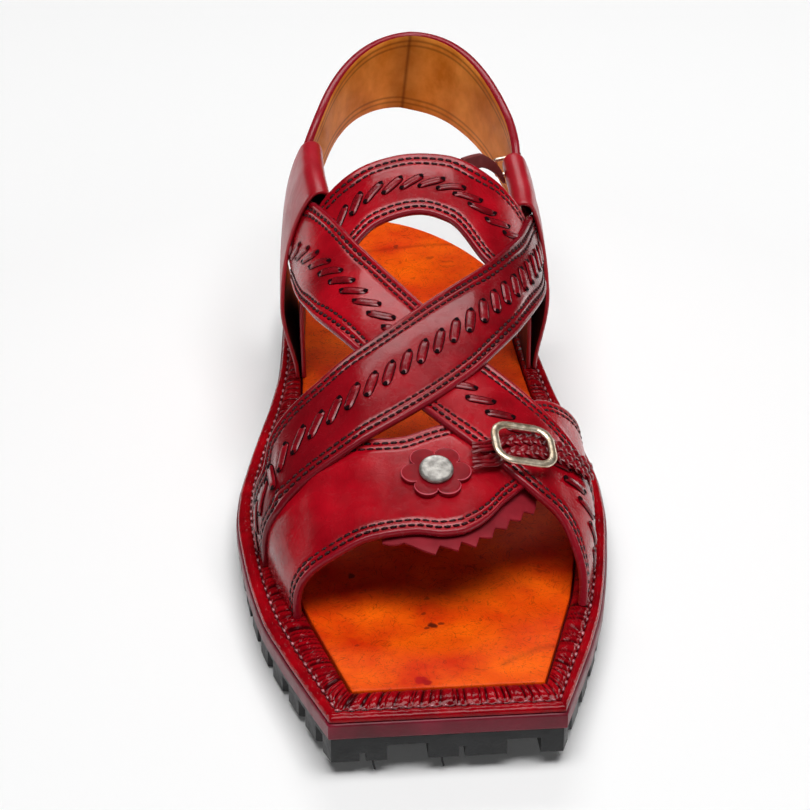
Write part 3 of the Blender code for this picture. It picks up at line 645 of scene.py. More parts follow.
@dataclass(frozen=True)
class StripProfile:
    """Cross-section of a sewn strip.

    Attributes:
        thick: Thickness of the leather.
        base: Height of the underside off the sheet.
        rim: Distance from the edge and height off the face, for the rolled rim and the stitch grooves.
        pad: Swelling of the middle.
        middle: Stations between the two rims.
        under_edge: Width of the turned edge on the underside.
    """

    thick: float
    base: float = 0.0
    rim: tuple[tuple[float, float], ...] = ()
    pad: float = 0.0
    middle: int = 9
    under_edge: float = 1.6

    def face(self, distance: Array, width: Array) -> Array:
        """Height of the upper face at a distance from the nearer edge.

        Args:
            distance: Distances from that edge.
            width: Widths of the strip.

        Returns:
            Heights off the sheet.
        """
        rim = np.array(self.rim)
        last = rim[-1, 0]
        inner = np.clip((distance - last) / np.maximum(width / 2 - last, 0.1), 0.0, 1.0)
        swell = self.pad * (1.0 - (1.0 - inner) ** 2)
        return self.base + self.thick + np.interp(distance, rim[:, 0], rim[:, 1]) + swell

    def stations(self) -> list[tuple[Edge, float, float, bool]]:
        """Stations round the section, over the upper face and back along the underside.

        Returns:
            Edge, distance from it or negative share of the middle, height, and whether on the upper face.
        """
        rim = [(d, self.base + self.thick + h) for d, h in self.rim]
        ring = [(Edge.FRONT, d, h, True) for d, h in rim]
        for k in range(1, self.middle):
            m = k / self.middle
            ring.append((Edge.FRONT, -m, rim[-1][1] + self.pad * (1.0 - (2.0 * m - 1.0) ** 2), True))
        ring += [(Edge.REAR, d, h, True) for d, h in reversed(rim)]
        under = ((0.3, 0.34), (0.75, 0.08), (self.under_edge, 0.0))
        ring += [(Edge.REAR, d, self.base + h * self.thick / STRAP, False) for d, h in under]
        ring += [(Edge.FRONT, -m, self.base, False) for m in (0.8, 0.6, 0.4, 0.2)]
        ring += [(Edge.FRONT, d, self.base + h * self.thick / STRAP, False) for d, h in reversed(under)]
        return ring


# Rolled rim, then two stitch grooves, as on the straps
SEWN_RIM = (
    (0.0, -1.2), (0.1, -0.6), (0.3, -0.2), (0.6, 0.05), (0.95, 0.15), (1.3, 0.1), (1.6, -0.06), (1.85, -0.2),
    (2.1, -0.24), (2.4, -0.3), (2.7, -0.2), (3.05, -0.02), (3.4, 0.03), (3.75, -0.06), (4.05, -0.2),
    (4.3, -0.3), (4.6, -0.2), (5.0, -0.03), (6.0, 0.03))
# Both stitch rows lie in those grooves
STITCH_ROWS = (2.4, 4.3)
PLAIN_RIM = ((0.0, -0.75), (0.1, -0.42), (0.3, -0.18), (0.6, -0.03), (1.1, 0.0), (2.2, 0.0))
CUT_RIM = ((0.0, -0.25), (0.12, -0.04), (0.4, 0.0))


class Bench:
    """Makes mesh objects, as by hand, in the shoe's millimetres; edges over sharp degrees stay sharp."""

    sharp = 50.0

    @staticmethod
    def choose(obj: Piece) -> None:
        """Makes one object the only selected and active one.

        Args:
            obj: Object.
        """
        bpy.ops.object.select_all(action="DESELECT")
        obj.select_set(True)
        bpy.context.view_layer.objects.active = obj

    @staticmethod
    def add(name: str, data: bpy.types.ID) -> Piece:
        """A new object with its data, linked to the scene.

        Args:
            name: Name of the object.
            data: Its mesh, light or camera.

        Returns:
            The new object.
        """
        obj = bpy.data.objects.new(name, data)
        bpy.context.scene.collection.objects.link(obj)
        return obj

    @staticmethod
    def world(points: Array) -> Array:
        """From the shoe's millimetres to metres about the middle of the sole's outline."""
        return (np.asarray(points, float).reshape(-1, 3) - CENTRE) * MM

    @classmethod
    def grid(cls, name: str, points: Array, ring: bool = False, caps: bool = False,
             marks: dict[str, Array] | None = None, coats: Array | None = None) -> Piece:
        """Adds a grid and carries its points to a surface.

        Args:
            name: Name of the piece.
            points: Rows by columns by three, in the shoe's millimetres.
            ring: Whether the columns close into a ring.
            caps: Whether the two ends are filled.
            marks: Float attributes, rows by columns each.
            coats: Material index of each face, rows by columns.

        Returns:
            The new object.
        """
        if ring:
            points = np.concatenate([points, points[:, :1]], 1)
            marks = {k: np.concatenate([m, m[:, :1]], 1) for k, m in (marks or {}).items()}
        rows, columns = points.shape[:2]
        bpy.ops.object.select_all(action="DESELECT")
        bpy.ops.mesh.primitive_grid_add(x_subdivisions=columns - 1, y_subdivisions=rows - 1, size=2.0)
        obj = bpy.context.active_object
        obj.name = obj.data.name = name
        mesh = obj.data
        mesh.vertices.foreach_set("co", cls.world(points).astype(np.float32).ravel())
        for key, values in (marks or {}).items():
            data = mesh.attributes.new(key, "FLOAT", "POINT").data
            data.foreach_set("value", values.astype(np.float32).ravel())
        if coats is not None:
            first = np.array([min(p.vertices) for p in mesh.polygons])
            index = coats[first // columns, first % columns]
            mesh.polygons.foreach_set("material_index", index.astype(np.int32))
        bpy.ops.object.mode_set(mode="EDIT")
        bpy.ops.mesh.select_all(action="SELECT")
        bpy.ops.mesh.remove_doubles(threshold=2e-6)
        if caps:
            bpy.ops.mesh.fill_holes(sides=0)
        bpy.ops.mesh.select_all(action="SELECT")
        bpy.ops.mesh.normals_make_consistent(inside=False)
        bpy.ops.object.mode_set(mode="OBJECT")
        bpy.ops.object.shade_smooth_by_angle(angle=math.radians(cls.sharp))
        return obj

    @classmethod
    def copies(cls, name: str, points: Array, faces: Sequence[Sequence[int]]) -> Piece:
        """One mesh of many copies of a small shape.

        Args:
            name: Name of the piece.
            points: Copies by points by three, in the shoe's millimetres.
            faces: Faces of one copy.

        Returns:
            The new object.
        """
        count, size = points.shape[:2]
        all_faces = [[k * size + i for i in face] for k in range(count) for face in faces]
        mesh = bpy.data.meshes.new(name)
        mesh.from_pydata(cls.world(points).tolist(), [], all_faces)
        mesh.polygons.foreach_set("use_smooth", np.ones(len(all_faces), bool))
        mesh.update()
        return cls.add(name, mesh)

    @classmethod
    def tube(cls, name: str, path: Array, out: Array, half: Array, sides: int = 10,
             closed: bool = False) -> Piece:
        """A wire or strand along a path.

        Args:
            name: Name of the piece.
            path: Points of the middle line.
            out: Outward direction at each point.
            half: Half width across and half height out, one pair or a pair for each point.
            sides: Sides of the section.
            closed: Whether the path is a loop.

        Returns:
            The new object.
        """
        if closed:
            path, out = (np.concatenate([part, part[:1]]) for part in (path, out))
        run = unit(np.gradient(path, axis=0))
        if closed:
            run[0] = run[-1] = unit(path[1] - path[-2])
        side = unit(np.cross(run, out))
        up = unit(np.cross(side, run))
        half = np.broadcast_to(half, (len(path), 2))
        turn = circle(sides)
        ring = (path[:, None, :] + side[:, None, :] * (half[:, :1] * np.cos(turn))[..., None]
                + up[:, None, :] * (half[:, 1:] * np.sin(turn))[..., None])
        return cls.grid(name, ring, ring=True, caps=not closed)

    @classmethod
    def strip(cls, name: str, sheet: Sheet, profile: StripProfile, step: float,
              turned: float | None = None, first_from: float = -1.0, extra: Sequence[float] = (),
              relief: Callable[..., Array] | None = None) -> Piece:
        """A sewn strip with rolled edges along a sheet.

        Args:
            name: Name of the piece.
            sheet: Surface that it follows.
            profile: Its cross-section.
            step: Spacing along it.
            turned: Width of the edge on which the first finish goes on to the underside, which has the
                second one; none where the strip has only one.
            first_from: Share along from which the upper face has the first finish.
            extra: Further shares along at which it is cut.
            relief: Height added on the upper face, from share along, distances from the front and the
                nearer edge, and points of the smooth face.

        Returns:
            The new object.
        """
        us = np.unique(np.concatenate([np.linspace(0.0, 1.0, int(sheet.length() / step) + 1), extra]))
        width = sheet.width(us)
        ring = profile.stations()
        reach = profile.rim[-1][0]
        fit = np.minimum(1.0, 0.46 * width / reach)
        v = np.zeros((len(us), len(ring)))
        near = np.zeros_like(v)
        for j, (edge, distance, _, _) in enumerate(ring):
            if distance >= 0.0:
                inward = distance * fit / width
                v[:, j] = inward if edge is Edge.FRONT else 1.0 - inward
            else:
                limit = reach * fit / width
                v[:, j] = mix(limit, 1.0 - limit, -distance)
            near[:, j] = np.minimum(v[:, j], 1.0 - v[:, j]) * width
        height = np.array([h for _, _, h, _ in ring])[None, :] + np.zeros_like(v)
        upper = np.array([face for _, _, _, face in ring])
        if relief is not None:
            flat = sheet.point(us[:, None], v, height)
            height = height + relief(us[:, None], v * width[:, None], near, flat) * upper[None, :]
        points = sheet.point(us[:, None], v, height)
        marks = {"edge_mm": near, "along_mm": np.repeat(sheet.run(us)[:, None], len(ring), 1)}
        coats = None
        if turned is not None:
            face = (upper & np.roll(upper, -1))[None, :] & (us[:, None] > first_from)
            coats = np.where(face | (near < turned), 0, 1)
        return cls.grid(name, points, ring=True, caps=True, marks=marks, coats=coats)


# Finishes

def linear(hex_code: str) -> tuple[float, float, float, float]:
    """Linear colour from an sRGB hex code.

    Args:
        hex_code: Number sign and six digits.

    Returns:
        Red, green, blue, opacity.
    """
    parts = [int(hex_code[k:k + 2], 16) / 255.0 for k in (1, 3, 5)]
    red, green, blue = (p / 12.92 if p <= 0.04045 else ((p + 0.055) / 1.055) ** 2.4 for p in parts)
    return red, green, blue, 1.0


def add_node(tree: Tree, kind: str, values: dict | None = None, links: dict | None = None,
             **settings: object) -> bpy.types.Node:
    """Adds a node with its settings and links.

    Args:
        tree: Node tree.
        kind: Node type.
        values: Values of inputs by name or index.
        links: Output sockets by the name or index of the input that each feeds.
        settings: Properties of the node.

    Returns:
        The new node.
    """
    node = tree.nodes.new(kind)
    for key, value in settings.items():
        setattr(node, key, value)
    for key, value in (values or {}).items():
        node.inputs[key].default_value = value
    for key, socket in (links or {}).items():
        tree.links.new(socket, node.inputs[key])
    return node


# Noise values at which the colour and the roughness of a finish reach their ends
COLOUR_ENDS, ROUGH_ENDS = (0.32, 0.68), (0.3, 0.7)
# Distances from the shoe's middle between which the painted side shade comes in, and its strength there
SIDE_SHADE_REACH, SIDE_SHADE_SHARE = (12.0 * MM, 40.0 * MM), (0.0, 0.5)


@dataclass(frozen=True)
class Finish:
    """A surface finish: what it is made of and how it takes light.

    Attributes:
        name: Name of the real material.
        low, high: Darkest and lightest of its colour, as sRGB hex codes.
        patch_mm: Size of its colour patches.
        grain_mm, grain_depth: Size and height of its grain.
        crease_mm, crease_depth: Size and height of its creases or lumps.
        rough: Lowest and highest roughness.
        coat, coat_rough: Weight and roughness of the polish.
        edge: Colour toward a cut or rolled edge, if any; on the welt it is painted shade in the pleats'
            valleys and the stitch row, on the petals a painted highlight along the rim.
        edge_mm: Width over which that colour fades.
        side_shade: Colour of painted shade laid on toward the two sides of the shoe, if any.
        metal: Whether it is metal.
        ior: Index of refraction.
        specular: Level of the plain mirror light under the polish.
        stretch: Scale of the grain on each axis.
    """

    name: str
    low: str
    high: str
    patch_mm: float = 18.0
    grain_mm: float = 0.9
    grain_depth: float = 0.05
    crease_mm: float = 7.0
    crease_depth: float = 0.12
    rough: tuple[float, float] = (0.3, 0.42)
    coat: float = 0.0
    coat_rough: float = 0.15
    edge: str | None = None
    edge_mm: float = 1.6
    side_shade: str | None = None
    metal: bool = False
    ior: float = 1.5
    specular: float = 0.4
    stretch: tuple[float, float, float] = (1.0, 1.0, 1.0)

    def gap(self, tree: Tree, value: Socket, at: float) -> Socket:
        """Distance of a value from a place, on either side of it."""
        less = add_node(tree, "ShaderNodeMath", {1: at}, {0: value}, operation="SUBTRACT")
        return add_node(tree, "ShaderNodeMath", links={0: less.outputs[0]}, operation="ABSOLUTE").outputs[0]

    def tint(self, tree: Tree, colour: Socket, code: str, value: Socket, reach: tuple[float, float],
             share: tuple[float, float], way: str = "LINEAR") -> Socket:
        """Lays a colour over another, as strongly as a value asks.

        Args:
            tree: Node tree.
            colour: Colour underneath.
            code: Colour that is laid on, as an sRGB hex code.
            value: What the strength depends on.
            reach: Two values between which the strength changes.
            share: Strength at each of them.
            way: How it goes from one to the other.

        Returns:
            The mixed colour.
        """
        limits = {"From Min": reach[0], "From Max": reach[1], "To Min": share[0], "To Max": share[1]}
        strength = add_node(tree, "ShaderNodeMapRange", limits, {"Value": value}, interpolation_type=way)
        mixed = add_node(tree, "ShaderNodeMix", {7: linear(code)},
                         {"Factor": strength.outputs["Result"], 6: colour}, data_type="RGBA")
        return mixed.outputs[2]

    def extra_colour(self, tree: Tree, colour: Socket, place: Socket) -> Socket:
        """Marks of a finish of its own; the plain one has none."""
        return colour

    def make(self) -> bpy.types.Material:
        """Builds the material at its first use.

        Returns:
            The material.
        """
        found = bpy.data.materials.get(self.name)
        if found is not None:
            return found
        material = bpy.data.materials.new(self.name)
        material.use_nodes = True
        tree = material.node_tree
        tree.nodes.clear()
        place = add_node(tree, "ShaderNodeTexCoord").outputs["Object"]
        patch = add_node(
            tree, "ShaderNodeTexNoise",
            {"Scale": 1.0 / (self.patch_mm * MM), "Detail": 4.0, "Roughness": 0.6}, {"Vector": place})
        dye = add_node(tree, "ShaderNodeValToRGB", links={"Fac": patch.outputs["Fac"]})
        for stop, at, code in zip(dye.color_ramp.elements, COLOUR_ENDS, (self.low, self.high)):
            stop.position = at
            stop.color = linear(code)
        colour = dye.outputs["Color"]
        # Edge colour: dye on the straps' rolled edges, painted shade in the welt's valleys, a painted
        # highlight on the petals' rims
        if self.edge is not None:
            distance = add_node(tree, "ShaderNodeAttribute", attribute_name="edge_mm").outputs["Fac"]
            fade = (self.edge_mm * 0.4, self.edge_mm)
            colour = self.tint(tree, colour, self.edge, distance, fade, (1.0, 0.0), "SMOOTHSTEP")
        # Painted shade, darker toward the two sides of the shoe, where the strap slopes away from the light
        if self.side_shade is not None:
            axes = add_node(tree, "ShaderNodeSeparateXYZ", links={"Vector": place})
            aside = self.gap(tree, axes.outputs["X"], 0.0)
            colour = self.tint(tree, colour, self.side_shade, aside, SIDE_SHADE_REACH, SIDE_SHADE_SHARE)
        colour = self.extra_colour(tree, colour, place)
        spread = add_node(tree, "ShaderNodeMapping", {"Scale": self.stretch}, {"Vector": place})
        grain = add_node(
            tree, "ShaderNodeTexNoise",
            {"Scale": 1.0 / (self.grain_mm * MM), "Detail": 3.0, "Roughness": 0.65},
            {"Vector": spread.outputs["Vector"]})
        crease = add_node(
            tree, "ShaderNodeTexNoise",
            {"Scale": 1.0 / (self.crease_mm * MM), "Detail": 5.0, "Roughness": 0.55, "Distortion": 0.6},
            {"Vector": place})
        limits = {"From Min": ROUGH_ENDS[0], "From Max": ROUGH_ENDS[1],
                  "To Min": self.rough[0], "To Max": self.rough[1]}
        shine = add_node(tree, "ShaderNodeMapRange", limits, {"Value": crease.outputs["Fac"]})
        large = add_node(tree, "ShaderNodeBump", {"Strength": 1.0, "Distance": self.crease_depth * MM},
                         {"Height": crease.outputs["Fac"]})
        fine = add_node(tree, "ShaderNodeBump", {"Strength": 1.0, "Distance": self.grain_depth * MM},
                        {"Height": grain.outputs["Fac"], "Normal": large.outputs["Normal"]})
        values = {"Metallic": 1.0 if self.metal else 0.0, "IOR": self.ior, "Coat Weight": self.coat,
                  "Coat Roughness": self.coat_rough, "Specular IOR Level": self.specular}
        shader = add_node(
            tree, "ShaderNodeBsdfPrincipled", values,
            {"Base Color": colour, "Roughness": shine.outputs["Result"], "Normal": fine.outputs["Normal"]})
        add_node(tree, "ShaderNodeOutputMaterial", links={"Surface": shader.outputs["BSDF"]})
        return material


@dataclass(frozen=True)
class FootbedFinish(Finish):
    """Dyed footbed leather with fibres, stains and spots of use, and painted shade under the straps.

    Attributes:
        wear_and_shade: Colour of old wear and of painted shade under the straps, laid on by the attribute of
            that name.
        fibre: Colour of the fine fibres and cracks.
        spots: Place, radius, strength and colour of each spot, in the shoe's millimetres.
        wobble_mm: Size of the wobble of a spot's outline.
        stray_mm: How far that wobble may carry it.
    """

    wear_and_shade: str = "#3C1004"
    fibre: str = "#6A1C02"
    spots: tuple[tuple[float, float, float, float, str], ...] = ()
    wobble_mm: float = 2.2
    stray_mm: float = 2.4

    def extra_colour(self, tree: Tree, colour: Socket, place: Socket) -> Socket:
        """Lays fibres, wear with painted shade under the straps, and spots over the dye.

        Args:
            tree: Node tree.
            colour: Colour so far.
            place: Position on the piece.

        Returns:
            The marked colour.
        """
        for size, strength in ((9.0, 0.65), (4.0, 0.5)):
            hairs = add_node(
                tree, "ShaderNodeTexNoise", {"Scale": 1.0 / (size * MM), "Detail": 6.0, "Distortion": 2.5},
                {"Vector": place})
            thread = self.gap(tree, hairs.outputs["Fac"], 0.5)
            colour = self.tint(tree, colour, self.fibre, thread, (0.0, 0.012), (strength, 0.0))
        # Old wear together with painted shade under the straps, from a point attribute
        painted = add_node(tree, "ShaderNodeAttribute", attribute_name="wear_and_shade").outputs["Fac"]
        colour = self.tint(tree, colour, self.wear_and_shade, painted, (0.0, 1.0), (0.0, 1.0))
        wobble = add_node(tree, "ShaderNodeTexNoise", {"Scale": 1.0 / (self.wobble_mm * MM), "Detail": 3.0},
                          {"Vector": place})
        shift = add_node(tree, "ShaderNodeVectorMath", {1: (self.stray_mm * MM,) * 3},
                         {0: wobble.outputs["Color"]}, operation="MULTIPLY")
        moved = add_node(tree, "ShaderNodeVectorMath", links={0: place, 1: shift.outputs[0]}, operation="ADD")
        plan = add_node(
            tree, "ShaderNodeVectorMath", {1: (1.0, 1.0, 0.0)}, {0: moved.outputs[0]}, operation="MULTIPLY")
        middle = np.array([1.0, 1.0, 0.0]) * self.stray_mm / 2
        for x, y, radius, strength, code in self.spots:
            centre = (np.array([x, y, 0.0]) - CENTRE) * MM + middle * MM
            away = add_node(tree, "ShaderNodeVectorMath", {1: centre.tolist()}, {0: plan.outputs[0]},
                            operation="DISTANCE").outputs["Value"]
            fade = (0.55 * radius * MM, radius * MM)
            colour = self.tint(tree, colour, code, away, fade, (strength, 0.0), "SMOOTHSTEP")
        return colour


@dataclass(frozen=True)
class LiningFinish(Finish):
    """Lining with darker sewn grooves along its edges and a seam at the middle.

    Attributes:
        groove: Colour of the grooves and the seam.
        rows: Distances of the grooves from the edge.
        seam_mm: Place of the seam along the strip.
    """

    groove: str = "#5E2A08"
    rows: tuple[float, ...] = ()
    seam_mm: float = 0.0

    def extra_colour(self, tree: Tree, colour: Socket, place: Socket) -> Socket:
        """Darkens the grooves and the seam.

        Args:
            tree: Node tree.
            colour: Colour so far.
            place: Position on the piece; not used.

        Returns:
            The marked colour.
        """
        lines = [("edge_mm", row, 0.7, 0.5) for row in self.rows]
        lines += [("along_mm", self.seam_mm, 1.1, 0.6), ("along_mm", self.seam_mm, 10.0, 0.45)]
        for name, at, reach, strength in lines:
            distance = add_node(tree, "ShaderNodeAttribute", attribute_name=name)
            away = self.gap(tree, distance.outputs["Fac"], at)
            colour = self.tint(tree, colour, self.groove, away, (0.0, reach), (strength, 0.0), "SMOOTHSTEP")
        return colour


# Corrected-grain cowhide, dyed and polished: deep red, clear gloss over a fine grain
STRAP_LEATHER = Finish(
    "polished_red_cowhide", "#840310", "#B0071A", patch_mm=16.0, grain_mm=0.8, grain_depth=0.08,
    crease_mm=6.5, crease_depth=0.16, rough=(0.18, 0.32), coat=0.22, coat_rough=0.1, edge="#8A1020",
    edge_mm=1.2, ior=1.45, specular=0.28)
# The crossing strap on top: deeper red, with painted shade browner toward its ends
SHADED_STRAP_LEATHER = replace(
    STRAP_LEATHER, name="red_cowhide_painted_side_shade", low="#74030E", high="#9C0617", side_shade="#46030A")
# The same hide on the loops, softer: lighter red
LOOP_LEATHER = Finish(
    "soft_red_cowhide", "#900A18", "#AC1626", patch_mm=16.0, grain_mm=0.8, grain_depth=0.06, crease_mm=8.0,
    crease_depth=0.2, rough=(0.3, 0.44), coat=0.2, coat_rough=0.2, ior=1.45)
# The same hide, as thongs: darker, glossy on each fold
THONG_LEATHER = Finish(
    "polished_red_thong", "#5E030C", "#8E0718", patch_mm=5.0, grain_mm=0.6, grain_depth=0.03, crease_mm=3.0,
    crease_depth=0.12, rough=(0.2, 0.32), coat=0.12, coat_rough=0.12, ior=1.45)
# The same hide, cut out as petals: a thin painted highlight along each petal's rim round a deep red face
PETAL_LEATHER = Finish(
    "cut_red_cowhide", "#6E0310", "#940818", patch_mm=6.0, grain_mm=0.7, grain_depth=0.05, crease_mm=4.0,
    crease_depth=0.1, rough=(0.26, 0.38), edge="#E06674", edge_mm=0.5, ior=1.45, specular=0.2)
# Thin goatskin, gathered and varnished: bright red, wet-looking glints on each fold, painted shade in the
# valleys of the pleats and along the stitch row
WELT_LEATHER = Finish(
    "varnished_red_goatskin", "#74000A", "#A80412", patch_mm=9.0, grain_mm=0.9, grain_depth=0.03,
    crease_mm=3.0, crease_depth=0.2, rough=(0.1, 0.18), coat=0.06, coat_rough=0.07, edge="#3A0004",
    edge_mm=1.0, specular=0.15)
# Stacked hide, cut and burnished with wax: duller burgundy, streaks along the cut
MIDSOLE_EDGE = Finish(
    "burnished_burgundy_hide", "#5A0A1A", "#7E122A", patch_mm=14.0, grain_mm=1.2, grain_depth=0.05,
    crease_mm=6.0, crease_depth=0.15, rough=(0.34, 0.48), coat=0.12, coat_rough=0.25, stretch=(1.0, 1.0, 4.0),
    specular=0.25)
# Place of each spot of use on the footbed, its radius, strength and colour
FOOTBED_SPOTS = (
    (-1.2, -97.3, 1.7, 0.85, "#2A0C06"), (-3.2, -98.3, 0.8, 0.7, "#3A1206"),
    (1.2, -96.3, 0.8, 0.7, "#3A1206"), (-3.3, -91.1, 0.9, 0.6, "#3A1206"),
    (-1.6, -83.7, 0.9, 0.5, "#2A0C06"), (-22.6, -70.7, 1.4, 0.8, "#1A0604"),
    (-23.1, -105.4, 0.8, 0.5, "#5A1C06"), (5.1, 123.0, 1.2, 0.6, "#5A1C06"),
    (16.3, 114.1, 1.4, 0.5, "#7A2A08"), (-6.9, -124.6, 2.4, 0.95, "#B00A0A"),
    (-5.2, -125.8, 1.7, 0.95, "#A00606"))
# Vegetable-tanned hide, hand dyed: strong orange, cloudy, with stains of use and painted shade under the
# straps
FOOTBED = FootbedFinish(
    "hand_dyed_orange_hide", "#D62C00", "#FF6602", patch_mm=22.0, grain_mm=0.8, grain_depth=0.06,
    crease_mm=9.0, crease_depth=0.25, rough=(0.42, 0.55), specular=0.15, spots=FOOTBED_SPOTS)
# Undyed calf lining: tan, satin
LINING = LiningFinish(
    "tan_calf_lining", "#A8560F", "#CC7A26", patch_mm=16.0, grain_mm=0.9, grain_depth=0.04, crease_mm=8.0,
    crease_depth=0.15, rough=(0.4, 0.52), specular=0.2)
# Flesh side of the loops: dark brown, dull
LOOP_INSIDE = Finish(
    "dark_brown_hide", "#2A0A08", "#4A1714", patch_mm=14.0, rough=(0.35, 0.5), specular=0.3)
# Split leather of the pinked underlay: dull burgundy
UNDERLAY_LEATHER = Finish(
    "dull_burgundy_split", "#7C121E", "#961C2A", patch_mm=10.0, rough=(0.5, 0.62), crease_depth=0.1,
    specular=0.2)
# Bonded cotton thread, soaked in dye: nearly black red
THREAD = Finish(
    "dark_red_thread", "#1E0306", "#3C0810", patch_mm=4.0, grain_mm=0.35, grain_depth=0.06, crease_depth=0.0,
    rough=(0.45, 0.6), specular=0.25)
# The same thread varnished with the welt: glossy red, bright in pale pink patches that are painted glints
WELT_THREAD = Finish(
    "varnished_red_thread_painted_glints", "#5A0A12", "#D08088", patch_mm=2.0, grain_mm=0.35, grain_depth=0.06,
    crease_depth=0.0, rough=(0.16, 0.26), coat=0.8, coat_rough=0.06)
# Dull strap end, handled and unpolished: brown burgundy
STRAP_END = Finish(
    "unpolished_burgundy_hide", "#642626", "#864040", patch_mm=8.0, rough=(0.45, 0.6), specular=0.2)
# Shaded awl holes and slits: almost black
SLIT = Finish("awl_cut_shadow", "#100206", "#1A0408", rough=(0.7, 0.8), specular=0.05)
# Used tyre tread: black, worn matt
TYRE = Finish(
    "worn_tyre_rubber", "#08090A", "#141518", patch_mm=12.0, grain_mm=0.6, grain_depth=0.06, crease_mm=4.0,
    crease_depth=0.3, rough=(0.36, 0.55), ior=1.52)
# Cast alloy, tumbled and silvered: warm grey with dark scratches
BUCKLE_METAL = Finish(
    "antique_silvered_alloy", "#BCA484", "#FFF0DA", patch_mm=2.2, grain_mm=0.5, grain_depth=0.03,
    crease_mm=1.6, crease_depth=0.1, rough=(0.32, 0.5), metal=True)
# Pressed steel cap with fine scratches: pale and mottled
STUD_METAL = Finish(
    "scratched_nickel_cap", "#827E7A", "#C8C4BE", patch_mm=2.2, grain_mm=0.4, grain_depth=0.03, crease_mm=2.0,
    crease_depth=0.08, rough=(0.5, 0.65), metal=True, stretch=(1.0, 4.0, 1.0))


def dress(obj: Piece, finishes: Sequence[Finish], slot: str, *nodes: str) -> None:
    """Gives a piece its finishes and its place on the model.

    Args:
        obj: Piece.
        finishes: Finishes in the order of their material indices.
        slot: Slot of the record for its finish; not used.
        nodes: Solids that it stands for.
    """
    for finish in finishes:
        obj.data.materials.append(finish.make())
    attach(obj, "root")
    if nodes:
        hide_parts(*nodes)
    LOG.info("%s: %d faces", obj.name, len(obj.data.polygons))


@dataclass
class Needlework:
    """Stitches and the painted shade of their awl holes, gathered from every strip and made as joined meshes.

    Attributes:
        length, half_wide, half_high: Length, half width and half height of a stitch.
        pitch: Spacing on the straps.
        proud: How far a stitch stands off the leather.
        spots: Middles, runs and outward directions of the stitches, by group.
    """

    length: float = 1.55
    half_wide: float = 0.45
    half_high: float = 0.3
    pitch: float = 2.5
    proud: float = 0.08
    spots: dict[str, list[tuple[Array, Array, Array]]] = field(default_factory=dict)

    def hem(self, sheet: Sheet, profile: StripProfile, width: float,
            ends: tuple[float, float] = (0.0, 1.0)) -> None:
        """Adds both stitch rows along both edges of a strip.

        Args:
            sheet: Surface that is sewn.
            profile: Cross-section of the strip.
            width: Its usual width.
            ends: Shares along between which the rows run.
        """
        us = np.linspace(*ends, 500)
        for edge in Edge:
            for distance in STITCH_ROWS:
                face = float(profile.face(np.array(distance), np.array(width)))
                height = np.full_like(us, face + self.proud)
                v = sheet.share(us, np.full_like(us, distance), edge)
                self.line("strap_stitches", sheet.point(us, v, height), sheet.out(us, v, height), self.pitch)

    def line(self, group: str, line: Array, out: Array, pitch: float) -> None:
        """Adds stitches along a line.

        Args:
            group: Name of the thread piece.
            line: Points that they follow.
            out: Outward direction at each point.
            pitch: Spacing of the stitches.
        """
        run = run_of(line)
        stops = np.arange(pitch * 0.5, run[-1] - pitch * 0.3, pitch)
        centre, ahead = follow(stops, run, line), follow(stops + 0.4, run, line)
        normal = unit(follow(stops, run, out))
        self.spots.setdefault(group, []).append((centre, unit(ahead - centre), normal))

    def place(self, group: str, shape: Array) -> Array:
        """Copies of a small shape at every stitch of a group.

        Args:
            group: Name of the thread piece.
            shape: Points along, across and out from a stitch's middle.

        Returns:
            Copies by points by three, in the shoe's millimetres.
        """
        centre, run, out = (np.concatenate([part[k] for part in self.spots[group]]) for k in range(3))
        side = unit(np.cross(out, run))
        return (centre[:, None, :] + shape[None, :, 0:1] * run[:, None, :]
                + shape[None, :, 1:2] * side[:, None, :] + shape[None, :, 2:3] * out[:, None, :])

    def build(self, group: str, finish: Finish, slot: str, shade_pits: bool = True) -> None:
        """Makes the threads of a group and, under them, dark lozenges of painted shade for their awl holes.

        Args:
            group: Name of the thread piece.
            finish: Its thread.
            slot: Slot of the record.
            shade_pits: Whether there are those lozenges of painted shade.
        """
        sides = 6
        turn = circle(sides)
        rings = (
            (-1.0, 0.4, -0.25), (-0.72, 0.9, 0.02), (0.0, 1.0, 0.16), (0.72, 0.9, 0.02), (1.0, 0.4, -0.25))
        shape = [(a * self.length / 2, f * self.half_wide * math.cos(t),
                  h + f * self.half_high * math.sin(t)) for a, f, h in rings for t in turn]
        faces = [(r * sides + k, r * sides + (k + 1) % sides, (r + 1) * sides + (k + 1) % sides,
                  (r + 1) * sides + k) for r in range(len(rings) - 1) for k in range(sides)]
        dress(Bench.copies(group, self.place(group, np.array(shape)), faces), [finish], slot)
        if shade_pits:
            # Painted shade: a dark lozenge under each stitch, where its awl holes are
            corners = 10
            turn = circle(corners)
            lozenge = np.stack([np.cos(turn) * self.length * 0.66, np.sin(turn) * self.half_wide * 1.75,
                                np.full(corners, 0.05)], 1)
            cut_shade = Bench.copies(group + "_cut_shade", self.place(group, lozenge), [tuple(range(corners))])
            dress(cut_shade, [SLIT], slot)


